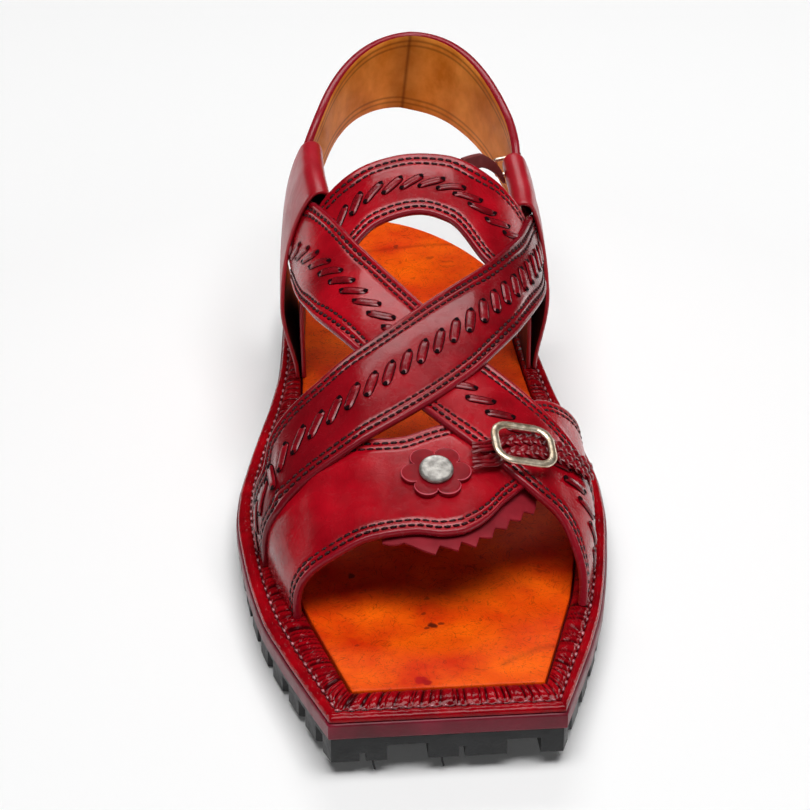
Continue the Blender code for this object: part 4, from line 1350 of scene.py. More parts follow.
@dataclass
class Strap:
    """One sewn strap of the upper, with its stitch rows and lacing.

    Attributes:
        name: Name of the piece.
        rows: Table of its edges and lift.
        needle: Stitches of the whole shoe.
        laced: Whether a thong is laced along its middle.
        finish: Its leather.
        lace_pitch: Spacing of the lacing.
        lace_turn: Slant of each loop from the run, in degrees.
        lace_long, lace_wide: Length and width of a loop.
        usual_width: Width at which the face is measured.
        turned: Width of the red edge turned under it.
        step: Spacing of the points along it.
        profile: Cross-section.
    """

    name: str
    rows: list[StrapRow]
    needle: Needlework
    laced: bool = True
    finish: Finish = STRAP_LEATHER
    lace_pitch: float = 6.4
    lace_turn: float = 38.0
    lace_long: float = 9.4
    lace_wide: float = 2.5
    usual_width: float = 30.0
    turned: float = 1.2
    step: float = 1.3
    profile: StripProfile = field(default_factory=lambda: StripProfile(STRAP, 0.0, SEWN_RIM, 0.35, 8))

    def build(self) -> None:
        """Makes the strap and adds its stitches."""
        self.sheet = StrapSheet(self.rows)

        def relief(u: Array, across: Array, near: Array, points: Array) -> Array:
            """Creases placed one by one and a soft unevenness of the hide.

            Args:
                u: Shares along; not used.
                across: Distances from the front edge; not used.
                near: Distances from the nearer edge.
                points: Points of the smooth face.

            Returns:
                Heights that are added.
            """
            x, y = points[..., 0], points[..., 1]
            soft = 0.10 * ripple(x / 23.0 + 0.35 * np.sin(y / 17.0), 0.7) * ripple(y / 29.0, 1.9)
            soft = soft + sum(crease.lift(x, y) for crease in CREASES[self.name])
            return soft * np.clip((near - 3.0) / 4.0, 0.0, 1.0)

        obj = Bench.strip(self.name, self.sheet, self.profile, self.step, self.turned, relief=relief)
        dress(obj, [self.finish, LINING], "strap_leather", "upper")
        self.needle.hem(self.sheet, self.profile, self.usual_width)
        if self.laced:
            self.lace()

    def lace(self) -> None:
        """Lays the slanted loops of a thong along the middle, each over a dark sheet of painted shade round
        it and in its holes.
        """
        sheet, length = self.sheet, self.sheet.length()
        us = np.linspace(0.0, 1.0, 600)
        stops = np.arange(self.lace_pitch * 0.6, length - 2.0, self.lace_pitch)
        u = np.interp(stops, sheet.run(us), us)
        v = np.full_like(u, 0.5)
        zero = np.zeros_like(u)
        su, sv = sheet.along(u, v, zero), sheet.across(u, v, zero)
        ahead = unit(su)
        out = sheet.out(u, v, zero)
        aside = unit(np.cross(out, ahead))
        turn = math.radians(self.lace_turn)
        long_way = ahead * math.cos(turn) + aside * math.sin(turn)
        wide_way = aside * math.cos(turn) - ahead * math.sin(turn)
        face = float(self.profile.face(np.array(self.usual_width / 2), np.array(self.usual_width)))

        def lay(a: Array, b: Array, h: Array) -> Array:
            """Points of every loop of the lacing.

            Args:
                a: Distances along a loop from its middle.
                b: Distances across it.
                h: Heights off the strap's face.

            Returns:
                Loops by points by three, in the shoe's millimetres.
            """
            vec = long_way[:, None, :] * a[None, :, None] + wide_way[:, None, :] * b[None, :, None]
            pairs = ((su, su), (su, sv), (sv, sv))
            g11, g12, g22 = (np.einsum("ij,ij->i", p, q)[:, None] for p, q in pairs)
            r1, r2 = np.einsum("ikj,ij->ik", vec, su), np.einsum("ikj,ij->ik", vec, sv)
            det = g11 * g22 - g12 * g12
            du, dv = (r1 * g22 - r2 * g12) / det, (r2 * g11 - r1 * g12) / det
            return sheet.point(u[:, None] + du, v[:, None] + dv, face + h[None, :])

        rows, columns = 11, 7
        s, t = np.meshgrid(np.linspace(-1.0, 1.0, rows), np.linspace(-1.0, 1.0, columns), indexing="ij")
        s, t = s.ravel(), t.ravel()
        plump = np.maximum(1.0 - np.abs(s) ** 4, 0.0) ** 0.5
        a = s * self.lace_long / 2
        b = t * self.lace_wide / 2 * (0.5 + 0.5 * plump)
        h = 0.1 + 0.5 * (1.0 - np.abs(s) ** 6) * (1.0 - 0.8 * np.abs(t) ** 5) - 0.2 * np.abs(s) ** 8
        faces = [(i * columns + j, (i + 1) * columns + j, (i + 1) * columns + j + 1, i * columns + j + 1)
                 for i in range(rows - 1) for j in range(columns - 1)]
        dress(Bench.copies(self.name + "_lacing", lay(a, b, h), faces), [THONG_LEATHER], "strap_leather")
        # Painted shade: a dark outline round each loop and dark discs in the holes at its two ends
        corners = 20
        around = circle(corners)
        cos, sin = np.cos(around), np.sin(around)
        a = np.sign(cos) * np.abs(cos) ** 0.6 * (self.lace_long / 2 + 0.3)
        b = np.sign(sin) * np.abs(sin) ** 0.8 * (self.lace_wide / 2 + 0.3)
        hole = self.lace_long / 2 - 0.4
        a = np.concatenate([[0.0], a, [hole], hole + 0.75 * cos, [-hole], -hole + 0.75 * cos])
        b = np.concatenate([[0.0], b, [0.0], 0.6 * sin, [0.0], 0.6 * sin])
        size = corners + 1
        slit_shade = lay(a, b, np.where(np.arange(3 * size) < size, 0.07, 0.5))
        fan = [(c, c + k, c + k % corners + 1) for c in (0, size, 2 * size) for k in range(1, size)]
        dress(Bench.copies(self.name + "_slit_shade", slit_shade, fan), [SLIT], "strap_leather")


@dataclass
class Underlay:
    """Split leather with saw teeth under the toe band's front edge.

    Attributes:
        teeth: Count of the teeth.
        crowd: Power by which they close up toward the outer side.
        riser: Share of a tooth taken by its short side.
        depth: Depth of the teeth.
        thick: Thickness of the leather.
    """

    teeth: float = 7.1
    crowd: float = 1.8
    riser: float = 0.2
    depth: float = 3.0
    thick: float = 1.2

    def tooth(self, u: Array) -> Array:
        """Depth of the front edge between the tips.

        Args:
            u: Shares along.

        Returns:
            Depths.
        """
        phase = (self.teeth * np.asarray(u) ** self.crowd) % 1.0
        back = (1.0 - phase) / (1.0 - self.riser)
        return self.depth * np.where(phase < self.riser, phase / self.riser, back)

    def build(self) -> None:
        """Makes the underlay."""
        sheet = StrapSheet(UNDERLAY, self.tooth)
        count = np.arange(int(self.teeth) + 1)
        corners = (np.concatenate([count, count + self.riser * 0.999]) / self.teeth) ** (1.0 / self.crowd)
        profile = StripProfile(self.thick, 0.0, CUT_RIM, 0.0, 4, 0.5)
        obj = Bench.strip("pinked_underlay_hide", sheet, profile, 0.5, extra=np.clip(corners, 0.0, 1.0))
        dress(obj, [UNDERLAY_LEATHER], "dull_burgundy_leather", "pinked_underlay")


@dataclass
class Quarter:
    """Leather loop at the waist that holds the straps and the heel band.

    Attributes:
        side: -1 for the inner and 1 for the outer loop.
        name: Name of its solid.
        turned: Width of the red edge on its brown side.
        red_from: Share along from which its face is red.
        step: Spacing of the points along it.
    """

    side: int
    name: str
    turned: float = 0.6
    red_from: float = 0.40
    step: float = 1.2

    def build(self) -> None:
        """Makes the loop."""
        sheet = LoopSheet(self.side)
        profile = StripProfile(LOOP_WALL, -LOOP_WALL / 2, PLAIN_RIM, 0.0, 8, 1.1)

        def relief(u: Array, across: Array, near: Array, points: Array) -> Array:
            """Pull of the leather over the fold."""
            fold = np.exp(-((u - 0.62) / 0.08) ** 2)
            return 0.22 * fold * ripple(across / 13.0, 0.4 + self.side) * np.clip(near / 3.0, 0.0, 1.0)

        obj = Bench.strip(
            self.name + "_loop", sheet, profile, self.step, self.turned, self.red_from, relief=relief)
        dress(obj, [LOOP_LEATHER, LOOP_INSIDE], "strap_leather", self.name)


@dataclass
class HeelBand:
    """Band round the heel: red outside with turned edges, tan lining inside, and its small buckle.

    Attributes:
        needle: Stitches of the whole shoe.
        thick: Thickness of the band.
        usual_width: Width at which its face is measured.
        turned: Width of the red edge turned over the lining.
        step: Spacing of the points along it.
        sewn: Shares along between which its stitch rows run.
        lining_rows: Distances of the lining's grooves from the edge.
        buckle_at, buckle_edges, buckle_deep: Share along, shares across and depth of the buckle.
        end_x, end_y, end_z: Start and finish of the strap end on each axis.
    """

    needle: Needlework
    thick: float = 2.8
    usual_width: float = 25.0
    turned: float = 0.5
    step: float = 1.4
    sewn: tuple[float, float] = (0.06, 0.94)
    lining_rows: tuple[float, float] = (2.6, 4.4)
    buckle_at: float = 0.783
    buckle_edges: tuple[float, float] = (0.68, 0.93)
    buckle_deep: float = 4.6
    end_x: tuple[float, float] = (21.7, 34.0)
    end_y: tuple[float, float] = (60.0, 69.0)
    end_z: tuple[float, float] = (78.6, 83.2)

    def build(self) -> None:
        """Makes the band, its stitch rows, buckle and strap end."""
        sheet = BandSheet()
        profile = StripProfile(self.thick, -self.thick / 2, SEWN_RIM, 0.3, 8, 2.3)
        seam = 0.5 + np.array([-0.006, -0.003, 0.0, 0.003, 0.006])
        obj = Bench.strip("heel_strap_band", sheet, profile, self.step, self.turned, extra=seam)
        seam_mm = float(sheet.run(np.linspace(0.0, 0.5, 200))[-1])
        lining = LiningFinish(
            "seamed_calf_lining", "#C8721A", "#F6A248", patch_mm=14.0, grain_mm=0.9, grain_depth=0.04,
            crease_mm=8.0, crease_depth=0.2, rough=(0.42, 0.54), specular=0.1, rows=self.lining_rows,
            seam_mm=seam_mm)
        dress(obj, [STRAP_LEATHER, lining], "strap_leather", "heel_strap")
        self.needle.hem(sheet, profile, self.usual_width, self.sewn)
        self.fasten(sheet)

    def fasten(self, sheet: BandSheet) -> None:
        """Makes the wire buckle and the dark strap end behind the outer loop.

        Args:
            sheet: Surface of the band.
        """
        near = -self.thick / 2 - GAP - 0.8
        far = near - self.buckle_deep
        low, high = self.buckle_edges
        corners = np.array([(low, near), (low, far), (high, far), (high, near)])
        turns = np.concatenate([np.linspace(start, stop, 12, endpoint=False)
                                for start, stop in zip(corners, np.roll(corners, -1, 0))])
        path = sheet.point(np.full(len(turns), self.buckle_at), turns[:, 0], turns[:, 1])
        path = (np.roll(path, 1, 0) + 2.0 * path + np.roll(path, -1, 0)) / 4.0
        out = np.tile(unit(sheet.point(0.79, 0.8, near) - sheet.point(0.78, 0.8, near)), (len(turns), 1))
        obj = Bench.tube("heel_buckle_wire", path, out, (0.75, 0.65), closed=True)
        dress(obj, [BUCKLE_METAL], "silver_metal", "heel_buckle")
        u, v = np.meshgrid(np.linspace(0.0, 1.0, 24), np.linspace(0.0, 1.0, 9), indexing="ij")
        free = np.stack([mix(*self.end_x, u), mix(*self.end_y, u), mix(*self.end_z, v) - 3.0 * u * u], -1)
        held = FORM.place(np.full_like(u, self.end_y[1]), mix(0.44, 0.395, v), np.full_like(u, -1.3))
        obj = Bench.grid("heel_strap_end", mix(free, held, ease(0.5, 1.0, u)[..., None]))
        solid = obj.modifiers.new("wall", "SOLIDIFY")
        solid.thickness, solid.offset = 1.6 * MM, 0.0
        soft = obj.modifiers.new("soft edge", "BEVEL")
        soft.width, soft.segments = 0.4 * MM, 2
        for modifier in ("wall", "soft edge"):
            bpy.ops.object.modifier_apply(modifier=modifier)
        dress(obj, [STRAP_END], "dark_strap_leather", "heel_strap_tail")


@dataclass
class Ornament:
    """Flower with its cap, and the braid that runs through a buckle frame.

    Attributes:
        girth, y: Place of the flower on the foot form.
        radius: Reach of its petals.
        lift: Distance of its underside off the foot form.
        petal_thick: Thickness of the petals.
        buckle_place: Section, girth and lift of the buckle frame.
        buckle_long, buckle_wide, buckle_corner: Its length, width and corner radius.
        buckle_turn: Its turn on the strap, in degrees.
        wire: Half width and half height of its wire.
        plait_pitch: Length of one turn of the plait.
        plait_start: Distances along between which the thongs close up.
        thong_half: Half width and half height of a thong at the flower.
        strand_half: The same in the plait.
    """

    girth: float = 0.02
    y: float = -69.5
    radius: float = 9.7
    lift: float = STRAP + GAP
    petal_thick: float = 1.6
    buckle_place: tuple[float, float, float] = (-60.5, 0.385, 8.3)
    buckle_long: float = 17.5
    buckle_wide: float = 13.0
    buckle_corner: float = 4.6
    buckle_turn: float = 8.0
    wire: tuple[float, float] = (1.2, 0.7)
    plait_pitch: float = 9.5
    plait_start: tuple[float, float] = (6.0, 13.0)
    thong_half: tuple[float, float] = (0.6, 0.36)
    strand_half: tuple[float, float] = (1.12, 0.42)

    def frame_at(self, y: float, girth: float, lift: float) -> tuple[Array, Array]:
        """Point on the foot form and its axes across, toward the heel and out.

        Args:
            y: Section.
            girth: Girth there.
            lift: Distance off the form.

        Returns:
            The point, and the three axes as rows.
        """
        spots = FORM.place(np.array([y, y + 2.0, y - 2.0, y, y]),
                           np.array([girth, girth, girth, girth + 0.03, girth - 0.03]), np.full(5, lift))
        across, along = unit(spots[3] - spots[4]), spots[1] - spots[2]
        out = unit(np.cross(across, along))
        along = np.cross(out, across)
        return spots[0], np.stack([across, along, out])

    def build(self) -> None:
        """Makes every piece of the ornament."""
        self.flower()
        self.cap()
        self.frame()
        self.plait()

    def flower(self) -> None:
        """Six round petals with a soft bevel and a painted highlight along their rim, on the toe band."""
        size = FORM.girth_at(self.y)
        turn = circle(144)
        petal = self.radius * (0.70 + 0.30 * np.abs(np.cos(3.0 * turn)) ** 0.6)
        rings = ((0.0, self.petal_thick), (0.25, self.petal_thick), (0.5, self.petal_thick), (0.75, 1.62),
                 (0.9, 1.66), (0.955, 1.62), (0.985, 1.45), (1.0, 1.1), (0.995, 0.2), (0.95, 0.0), (0.5, 0.0),
                 (0.0, 0.0))
        share, height = np.array(rings).T[..., None]
        reach = petal[None, :] * share
        cup = 0.3 * np.clip(share - 0.45, 0.0, 1.0) * np.abs(np.cos(3.0 * turn))[None, :]
        high = height + np.where(height > 0.9, cup, 0.0)
        points = FORM.place(self.y + reach * np.sin(turn)[None, :] * 0.94,
                            self.girth + reach * np.cos(turn)[None, :] / size, self.lift + high)
        # Distance from the rim of the top face, where the painted highlight runs
        rim = np.where(height > 1.3, (1.0 - share) * petal[None, :], 5.0)
        obj = Bench.grid("flower_petals", points, ring=True, marks={"edge_mm": rim})
        dress(obj, [PETAL_LEATHER], "strap_leather", "flower")

    def cap(self) -> None:
        """Pressed metal cap with a fine rim."""
        middle, axes = self.frame_at(self.y, self.girth, self.lift + self.petal_thick + GAP)
        rings = ((0.0, 1.30), (1.5, 1.27), (3.0, 1.2), (3.9, 1.12), (4.15, 1.16), (4.45, 1.32), (4.7, 1.15),
                 (4.85, 0.7), (4.8, 0.1), (0.0, 0.0))
        turn = circle(48)
        points = np.array([[middle + r * math.cos(t) * axes[0] + r * math.sin(t) * axes[1] + h * axes[2]
                            for t in turn] for r, h in rings])
        dress(Bench.grid("flower_cap", points, ring=True), [STUD_METAL], "silver_metal", "stud")

    def frame(self) -> None:
        """Rounded buckle frame that stands round the braid."""
        middle, axes = self.frame_at(*self.buckle_place)
        corner, turn = self.buckle_corner, math.radians(self.buckle_turn)
        points = []
        for across, along, start in ((1, 1, 0.0), (-1, 1, 0.5), (-1, -1, 1.0), (1, -1, 1.5)):
            for k in range(13):
                angle = math.pi * (start + 0.5 * k / 12)
                x = across * (self.buckle_long / 2 - corner) + corner * math.cos(angle)
                y = along * (self.buckle_wide / 2 - corner) + corner * math.sin(angle)
                points.append(middle + (x * math.cos(turn) - y * math.sin(turn)) * axes[0]
                              + (x * math.sin(turn) + y * math.cos(turn)) * axes[1])
        path = np.array(points)
        wave = 1.0 + 0.05 * ripple(np.linspace(0.0, 5.0, len(path) + 1), 0.6)
        half = np.stack([size * wave for size in self.wire], 1)
        half[-1] = half[0]
        obj = Bench.tube("buckle_frame", path, np.tile(axes[2], (len(path), 1)), half, 14, True)
        dress(obj, [BUCKLE_METAL], "silver_metal", "buckle")

    def plait(self) -> None:
        """Six flat thongs that leave the flower and close up into two plaits of three strands."""
        sheet = StrapSheet(BRAID)
        count = 150
        u = np.linspace(0.0, 1.0, count)
        along = u * sheet.length()
        width = sheet.width(u)
        strands = []
        plaited = ease(*self.plait_start, along)
        half = mix(np.array(self.thong_half), np.array(self.strand_half), plaited[:, None])
        for row in (-1.0, 1.0):
            for k in range(3):
                shift = 0.5 if row > 0.0 else 0.0
                phase = 2.0 * math.pi * (along / self.plait_pitch + k / 3.0) + shift
                thong = row * 2.7 + 1.6 * (k - 1) + 0.2 * np.sin(along / 2.2 + 2.0 * k)
                aside = mix(thong, row * 2.05 + 1.25 * np.sin(phase), plaited)
                low = 0.75 + 0.2 * np.sin(along / 1.9 + k)
                high = mix(low, 1.15 + 0.5 * np.sin(2.0 * phase), plaited)
                v = 0.5 + aside / width
                path = sheet.point(u, v, high)
                out = sheet.out(u, v, high)
                strands.append(Bench.tube(f"braid_strand_{len(strands) + 1}", path, out, half))
        bpy.ops.object.select_all(action="DESELECT")
        for obj in strands:
            obj.select_set(True)
        bpy.context.view_layer.objects.active = strands[0]
        bpy.ops.object.join()
        strands[0].name = "braid_plaits"
        dress(strands[0], [THONG_LEATHER], "strap_leather", "braid")


@dataclass
class Board:
    """A layer of the sole with a rounded edge, from an outline that runs round it.

    Attributes:
        name: Name of the piece.
        loop: Outline, counterclockwise.
        low: Height of its underside before the toe spring.
        thick: Its thickness.
        soft: Radius of its edges.
        inward: Stations from the edge to the middle line, as shares.
        spine_x: Place of that line across the shoe.
        spine_toe, spine_heel: Distances of its ends from the toe and the heel.
    """

    name: str
    loop: Array
    low: float
    thick: float
    soft: float
    inward: tuple[float, ...]
    spine_x: float = 2.0
    spine_toe: float = 26.0
    spine_heel: float = 32.0

    def points(self, relief: Callable[[Array, Array], Array] | None = None) -> Array:
        """Points of the layer: outline by stations from the underside's middle over the edge to the top's.

        Args:
            relief: Height added on top, from places in plan.

        Returns:
            Rows round the outline by columns, in the shoe's millimetres.
        """
        y_low, y_high = self.loop[:, 1].min(), self.loop[:, 1].max()
        spine_y = np.clip(self.loop[:, 1], y_low + self.spine_toe, y_high - self.spine_heel)
        spine = np.stack([np.full(len(self.loop), self.spine_x), spine_y], 1)
        rim = inset_loop(self.loop, self.soft)
        flat = np.full(len(rim), self.low)
        stations = [(mix(rim, spine, share), flat) for share in (1.0, 0.4)]
        quarter = [0.5 * math.pi * k / 4 for k in range(5)]
        stations += [(inset_loop(self.loop, self.soft * (1.0 - math.sin(turn))),
                      flat + self.soft * (1.0 - math.cos(turn))) for turn in quarter]
        stations += [(inset_loop(self.loop, self.soft * (1.0 - math.cos(turn))),
                      flat + self.thick - self.soft * (1.0 - math.sin(turn))) for turn in quarter]
        for share in self.inward:
            plan = mix(rim, spine, share)
            lift = relief(plan[:, 0], plan[:, 1]) * min(1.0, share * 8.0) if relief else 0.0
            stations.append((plan, flat + self.thick + lift))
        columns = []
        for plan, height in stations:
            lift = spring(plan[:, 1]) + rise(plan[:, 1])
            columns.append(np.concatenate([plan, (height + lift)[:, None]], 1))
        grid = np.stack(columns, 1)
        return np.concatenate([grid, grid[:1]])


@dataclass
class Sole:
    """Tyre-rubber outsole, midsole and footbed.

    Attributes:
        worn: Width of the worn lug edges.
        sharp: Least angle of an edge that is worn round, in degrees.
    """

    worn: float = 0.8
    sharp: float = 35.0

    def build(self) -> None:
        """Makes the layers from the floor up."""
        self.tread()
        self.midsole()
        self.footbed()

    def tread(self) -> None:
        """Copy of the tread solid with worn, rounded lug edges, and two mould hairs at the toe."""
        obj = Bench.add("tyre_tread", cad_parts["outsole"].data.copy())
        obj.data.materials.clear()
        Bench.choose(obj)
        bpy.ops.object.mode_set(mode="EDIT")
        bpy.ops.mesh.select_all(action="SELECT")
        bpy.ops.mesh.remove_doubles(threshold=1e-6)
        bpy.ops.mesh.dissolve_limited(angle_limit=math.radians(1.0))
        bpy.ops.object.mode_set(mode="OBJECT")
        soft = obj.modifiers.new("worn edge", "BEVEL")
        soft.width, soft.segments, soft.limit_method = self.worn * MM, 3, "ANGLE"
        soft.angle_limit = math.radians(self.sharp)
        bpy.ops.object.modifier_apply(modifier="worn edge")
        bpy.ops.object.shade_smooth_by_angle(angle=math.radians(self.sharp))
        dress(obj, [TYRE], "tyre_rubber", "outsole")
        for name, x in (("mould_hair_inner", -21.0), ("mould_hair_outer", -2.5)):
            path = np.array([(x + 0.3 * k * k / 9.0, -138.5 - 0.15 * k, 5.6 - 0.9 * k) for k in range(5)])
            hair = Bench.tube(name, path, np.tile([0.0, -1.0, 0.0], (5, 1)), (0.3, 0.3), 6)
            dress(hair, [TYRE], "tyre_rubber")

    def midsole(self) -> None:
        """Leather layer with a burnished edge."""
        board = Board("midsole_hide", sole_loop(0.0, 3.0), RUBBER + GAP, MIDSOLE, 0.9, (0.06, 0.3, 1.0))
        dress(Bench.grid(board.name, board.points()), [MIDSOLE_EDGE], "burgundy_leather", "midsole")

    def footbed(self) -> None:
        """Orange footbed with soft dents, the marks of use and painted shade under the toe band and the
        crossing straps.
        """
        inward = tuple(np.linspace(0.03, 1.0, 34))
        low = RUBBER + GAP + MIDSOLE + GAP
        board = Board("footbed_hide", footbed_loop(1.3), low, DECK, 0.6, inward)

        def relief(x: Array, y: Array) -> Array:
            """Dents under the heel and the ball of the foot.

            Args:
                x: Places across the shoe.
                y: Places along the shoe.

            Returns:
                Heights that are added.
            """
            heel = np.exp(-((x - 3.0) / 20.0) ** 2 - ((y - 98.0) / 30.0) ** 2)
            ball = np.exp(-((x + 2.0) / 26.0) ** 2 - ((y + 62.0) / 30.0) ** 2)
            return -0.5 * heel - 0.4 * ball + 0.12 * ripple(x / 31.0 + y / 57.0, 0.3)

        points = board.points(relief)
        x, y = points[..., 0], points[..., 1]
        cloud = 0.5 + 0.5 * ripple(x / 37.0 + 0.4 * np.sin(y / 23.0), 0.9) * ripple(y / 41.0, 1.4)
        # Painted shade under the toe band and the crossing straps, laid into the wear attribute
        shaded = ease(-92.0, -70.0, y) * (1.0 - ease(-42.0, -22.0, y))
        wear_and_shade = 0.3 * shaded * (0.65 + 0.35 * cloud) + 0.06 * cloud
        crack = ((16.3, -118.4), (19.5, -115.6), (22.5, -114.4), (26.0, -111.6), (30.4, -110.8))
        for start, end in zip(crack, crack[1:]):
            wear_and_shade = np.maximum(wear_and_shade, Crease(*start, *end, 0.34, 1.1).lift(x, y))
        heel_line = 121.5 + 1.5 * np.sin((x - 3.0) / 9.0)
        worn = 0.35 * np.exp(-((y - heel_line) / 0.9) ** 2) * (np.abs(x - 10.0) < 18.0)
        wear_and_shade = np.maximum(wear_and_shade, worn)
        obj = Bench.grid(board.name, points, marks={"wear_and_shade": wear_and_shade})
        dress(obj, [FOOTBED], "orange_leather", "insole")


@dataclass
class Welt:
    """Ruched strip between the sole's edge and the footbed, from one loop round the toe to the other.

    Attributes:
        needle: Stitches of the whole shoe.
        pleat: Usual spacing of the pleats.
        pitch: Spacing of the stitches.
        seam: Share across at which they run.
        toe_start, toe_end: Shares of the run at the two toe corners.
        toe_share: Share of the run along the toe.
        turn_start, turn_end: Shares between which the pleats turn from the sides to the toe.
        inset: Distance of the strip from the sole's edge at the sides and the toe.
        end: Section at which it ends.
    """

    needle: Needlework
    pleat: float = 2.4
    pitch: float = 3.6
    seam: float = 0.34
    toe_start: float = 0.42
    toe_end: float = 0.58
    toe_share: float = 0.16
    turn_start: float = 0.38
    turn_end: float = 0.62
    inset: float = 0.6
    end: float = INSOLE[-1].y - 6.0

    def rails(self, share: Array) -> tuple[Array, Array]:
        """The two rails of the strip.

        Args:
            share: Shares of the run.

        Returns:
            Points in plan on the outer and the inner rail.
        """
        corner, front = SOLE[0], INSOLE[0]
        toe_y, bed_y, knee = corner.y + self.inset, front.y - GAP, INSOLE[1].y
        t = (share - self.toe_start) / self.toe_share
        outer = np.stack([mix(corner.inner + 0.5, corner.outer - 0.5, t), np.full_like(t, toe_y)], -1)
        inner = np.stack([mix(front.inner - GAP, front.outer + GAP, t), np.full_like(t, bed_y)], -1)
        for side, chosen in ((-1, share < self.toe_start), (1, share > self.toe_end)):
            t = (share if side < 0 else 1.0 - share) / self.toe_start
            y_out, y_in = mix(self.end, toe_y, t), mix(self.end, bed_y, t)
            side_out = np.stack([SOLE_EDGE[side](y_out) - side * self.inset, y_out], -1)
            straight = np.interp(y_in, [front.y, knee], FOOTBED_EDGE[side](np.array([front.y, knee])))
            x_in = np.where(y_in < knee, straight, FOOTBED_EDGE[side](y_in)) + side * 2.0 * GAP
            side_in = np.stack([x_in, y_in], -1)
            outer = np.where(chosen[..., None], side_out, outer)
            inner = np.where(chosen[..., None], side_in, inner)
        return outer, inner

    def build(self) -> None:
        """Makes the strip with its pleats and its stitch row."""
        share = np.concatenate([np.linspace(0.0, self.toe_start, 640, endpoint=False),
                                np.linspace(self.toe_start, self.toe_end, 200, endpoint=False),
                                np.linspace(self.toe_end, 1.0, 641)])
        outer, inner = self.rails(share)
        middle = mix(outer, inner, 0.5)
        run = run_of(middle)
        form = ((0.0, 0.35), (0.01, 0.9), (0.03, 1.3), (0.08, 1.6), (0.14, 1.85), (0.2, 1.95), (0.25, 1.85),
                (0.29, 1.62), (0.315, 1.48), (0.34, 1.42), (0.365, 1.5), (0.39, 1.7), (0.43, 2.05),
                (0.49, 2.4), (0.57, 2.65), (0.65, 2.8), (0.75, 2.85), (0.85, 2.8), (0.93, 2.65),
                (0.975, 2.4), (1.0, 1.8), (1.0, 0.05), (0.5, 0.05), (0.0, 0.05))
        v, height = np.array(form).T[:, None, :]
        top = height > 0.2
        s = run[:, None]
        plan = mix(outer[:, None, :], inner[:, None, :], v[..., None])
        way = ease(self.toe_end, self.turn_end, share) - 1.0 + ease(self.turn_start, self.toe_start, share)
        level_out = way[:, None] * (plan[..., 1] - middle[:, 1:])
        slant = s + level_out + 0.9 * (v - 0.5) * ripple(s / 31.0, 0.2)
        phase = slant / self.pleat + 0.55 * ripple(slant / 11.0, 1.3)
        ridge = np.abs(np.sin(math.pi * phase)) ** 0.7
        strength = 0.85 + 0.3 * ripple(s / 7.3, 2.1) + 0.15 * ripple(slant / 2.9 + v * 1.7, 0.5)
        share_in = ease(0.35, 0.46, v) * (1.0 - 0.5 * ease(0.9, 1.0, v))
        pleats = 0.62 * (ridge - 0.65) * strength * share_in
        pinch = 0.5 + 0.5 * np.cos(2.0 * math.pi * s / self.pitch)
        lumps = (0.16 * ripple(s / 5.3 + v * 1.3, 0.8) * ripple(s / 12.1, 2.7)
                 - 0.3 * pinch * ease(0.16, 0.32, v)) * (1.0 - ease(0.36, 0.44, v)) * ease(0.0, 0.1, v)
        z = height + np.where(top, pleats + lumps, 0.0)
        plan_y = plan[..., 1]
        low = RUBBER + GAP + MIDSOLE + GAP
        points = np.concatenate([plan, (low + z + spring(plan_y) + rise(plan_y))[..., None]], -1)
        # Painted shade: the edge colour goes into the valleys of the pleats and along the sunken stitch row
        unshaded = 1.0 - 0.8 * share_in * (1.0 - ridge) ** 1.2 - 0.7 * np.exp(-((v - self.seam) / 0.03) ** 2)
        marks = {"edge_mm": np.clip(unshaded, 0.0, 1.0)}
        obj = Bench.grid("ruched_welt", points, ring=True, caps=True, marks=marks)
        dress(obj, [WELT_LEATHER], "ruched_leather", "welt")
        line = mix(outer, inner, self.seam)
        level = low + 1.6 + spring(line[:, 1]) + rise(line[:, 1])
        self.needle.line("welt_stitches", np.concatenate([line, level[:, None]], 1),
                         np.tile([0.0, 0.0, 1.0], (len(line), 1)), self.pitch)


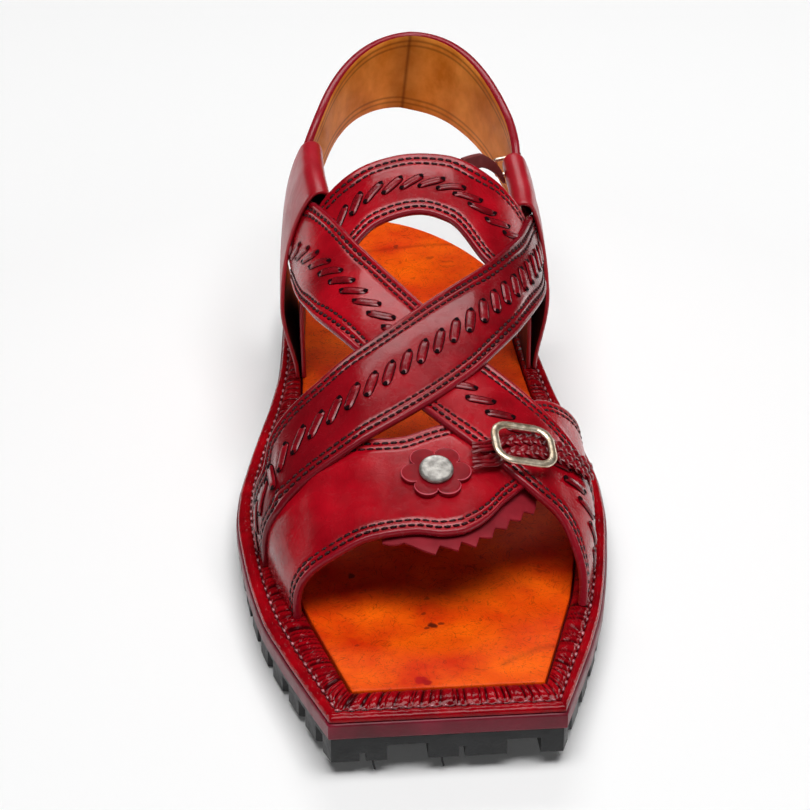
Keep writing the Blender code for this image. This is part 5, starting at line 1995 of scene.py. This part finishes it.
@dataclass
class Studio:
    """Pale floor, soft boxes and the camera of the photograph.

    Attributes:
        target: Place that the camera looks at, in the shoe's millimetres.
        azimuth, elevation: Its angles from the front and from the floor, in degrees.
        distance, lens: Its distance in metres and its focal length.
    """

    target: tuple[float, float, float] = (0.0, 18.0, 18.0)
    azimuth: float = -4.5
    elevation: float = 32.0
    distance: float = 0.8
    lens: float = 112.0

    def build(self) -> None:
        """Sets the stage."""
        self.floor()
        self.light()
        self.camera()

    def floor(self) -> None:
        """White sweep under the shoe."""
        bpy.ops.object.select_all(action="DESELECT")
        bpy.ops.mesh.primitive_plane_add(size=30.0, location=(0.0, 0.0, 0.0))
        floor = bpy.context.active_object
        floor.name = "studio_floor"
        material = bpy.data.materials.new("white_paper_sweep")
        material.use_nodes = True
        shader = material.node_tree.nodes["Principled BSDF"]
        shader.inputs["Base Color"].default_value = linear("#F4F4F4")
        shader.inputs["Roughness"].default_value = 0.9
        shader.inputs["Emission Color"].default_value = linear("#FFFFFF")
        tree = material.node_tree
        away = add_node(tree, "ShaderNodeVectorMath",
                        links={0: add_node(tree, "ShaderNodeTexCoord").outputs["Object"]}, operation="LENGTH")
        limits = {"From Min": 0.2, "From Max": 1.6, "To Min": 0.05, "To Max": 0.95}
        glow = add_node(tree, "ShaderNodeMapRange", limits, {"Value": away.outputs["Value"]})
        tree.links.new(glow.outputs["Result"], shader.inputs["Emission Strength"])
        floor.data.materials.append(material)

    def light(self) -> None:
        """Front box for the dye, a top box and two side boxes for the gloss."""
        world = bpy.data.worlds.new("white_room")
        bpy.context.scene.world = world
        world.use_nodes = True
        back = world.node_tree.nodes["Background"]
        back.inputs["Color"].default_value = (1.0, 1.0, 1.0, 1.0)
        back.inputs["Strength"].default_value = 0.03
        boxes = (
            ("front_box", (0.05, -0.35, 1.3), (1.1, 0.7), 18.0),
            ("top_box", (0.03, 0.31, 0.52), (0.34, 0.14), 0.8),
            ("left_box", (-0.9, 0.7, 0.1), (0.16, 0.18), 0.6),
            ("right_box", (0.9, 0.7, 0.1), (0.16, 0.18), 0.6))
        for name, place, size, power in boxes:
            lamp = bpy.data.lights.new(name, "AREA")
            lamp.shape = "RECTANGLE"
            lamp.size, lamp.size_y = size
            lamp.energy = power
            obj = Bench.add(name, lamp)
            obj.location = place
            aim = Vector((0.0, 0.0, 0.03)) - Vector(place)
            obj.rotation_euler = aim.to_track_quat("-Z", "Y").to_euler()

    def camera(self) -> None:
        """Camera at the photograph's angle."""
        data = bpy.data.cameras.new("camera")
        data.lens, data.sensor_width = self.lens, 36.0
        obj = Bench.add("camera", data)
        a, e = math.radians(self.azimuth), math.radians(self.elevation)
        back = Vector((math.sin(a) * math.cos(e), -math.cos(a) * math.cos(e), math.sin(e)))
        target = Vector(((np.array(self.target) - CENTRE) * MM).tolist())
        obj.location = target + back * self.distance
        obj.rotation_euler = (-back).to_track_quat("-Z", "Y").to_euler()
        data.clip_start, data.clip_end = 0.01, 50.0
        bpy.context.scene.camera = obj
        # Plain display curve, so that the dyed colours keep their strength
        bpy.context.scene.view_settings.view_transform = "Standard"


def main() -> None:
    """Builds the sub-assemblies in order and reports each piece."""
    logging.basicConfig(level=logging.INFO, format="%(name)s %(message)s")
    needle = Needlework()
    assemblies = [
        Sole(), Welt(needle), Strap("toe_band", TOE_BAND, needle, False),
        Strap("strap_b", CROSS_B, needle, lace_pitch=7.1, lace_long=8.2),
        Strap("instep_strap", INSTEP, needle, lace_pitch=6.0, lace_turn=32.0, lace_long=8.6, lace_wide=2.2),
        Strap("strap_a", CROSS_A, needle, finish=SHADED_STRAP_LEATHER), Underlay(), Quarter(-1, "quarter_inner"),
        Quarter(1, "quarter_outer"), HeelBand(needle), Ornament()]
    for assembly in assemblies:
        assembly.build()
    needle.build("strap_stitches", THREAD, "strap_leather")
    needle.build("welt_stitches", WELT_THREAD, "ruched_leather", shade_pits=False)
    Studio().build()


if __name__ == "__main__":
    main()
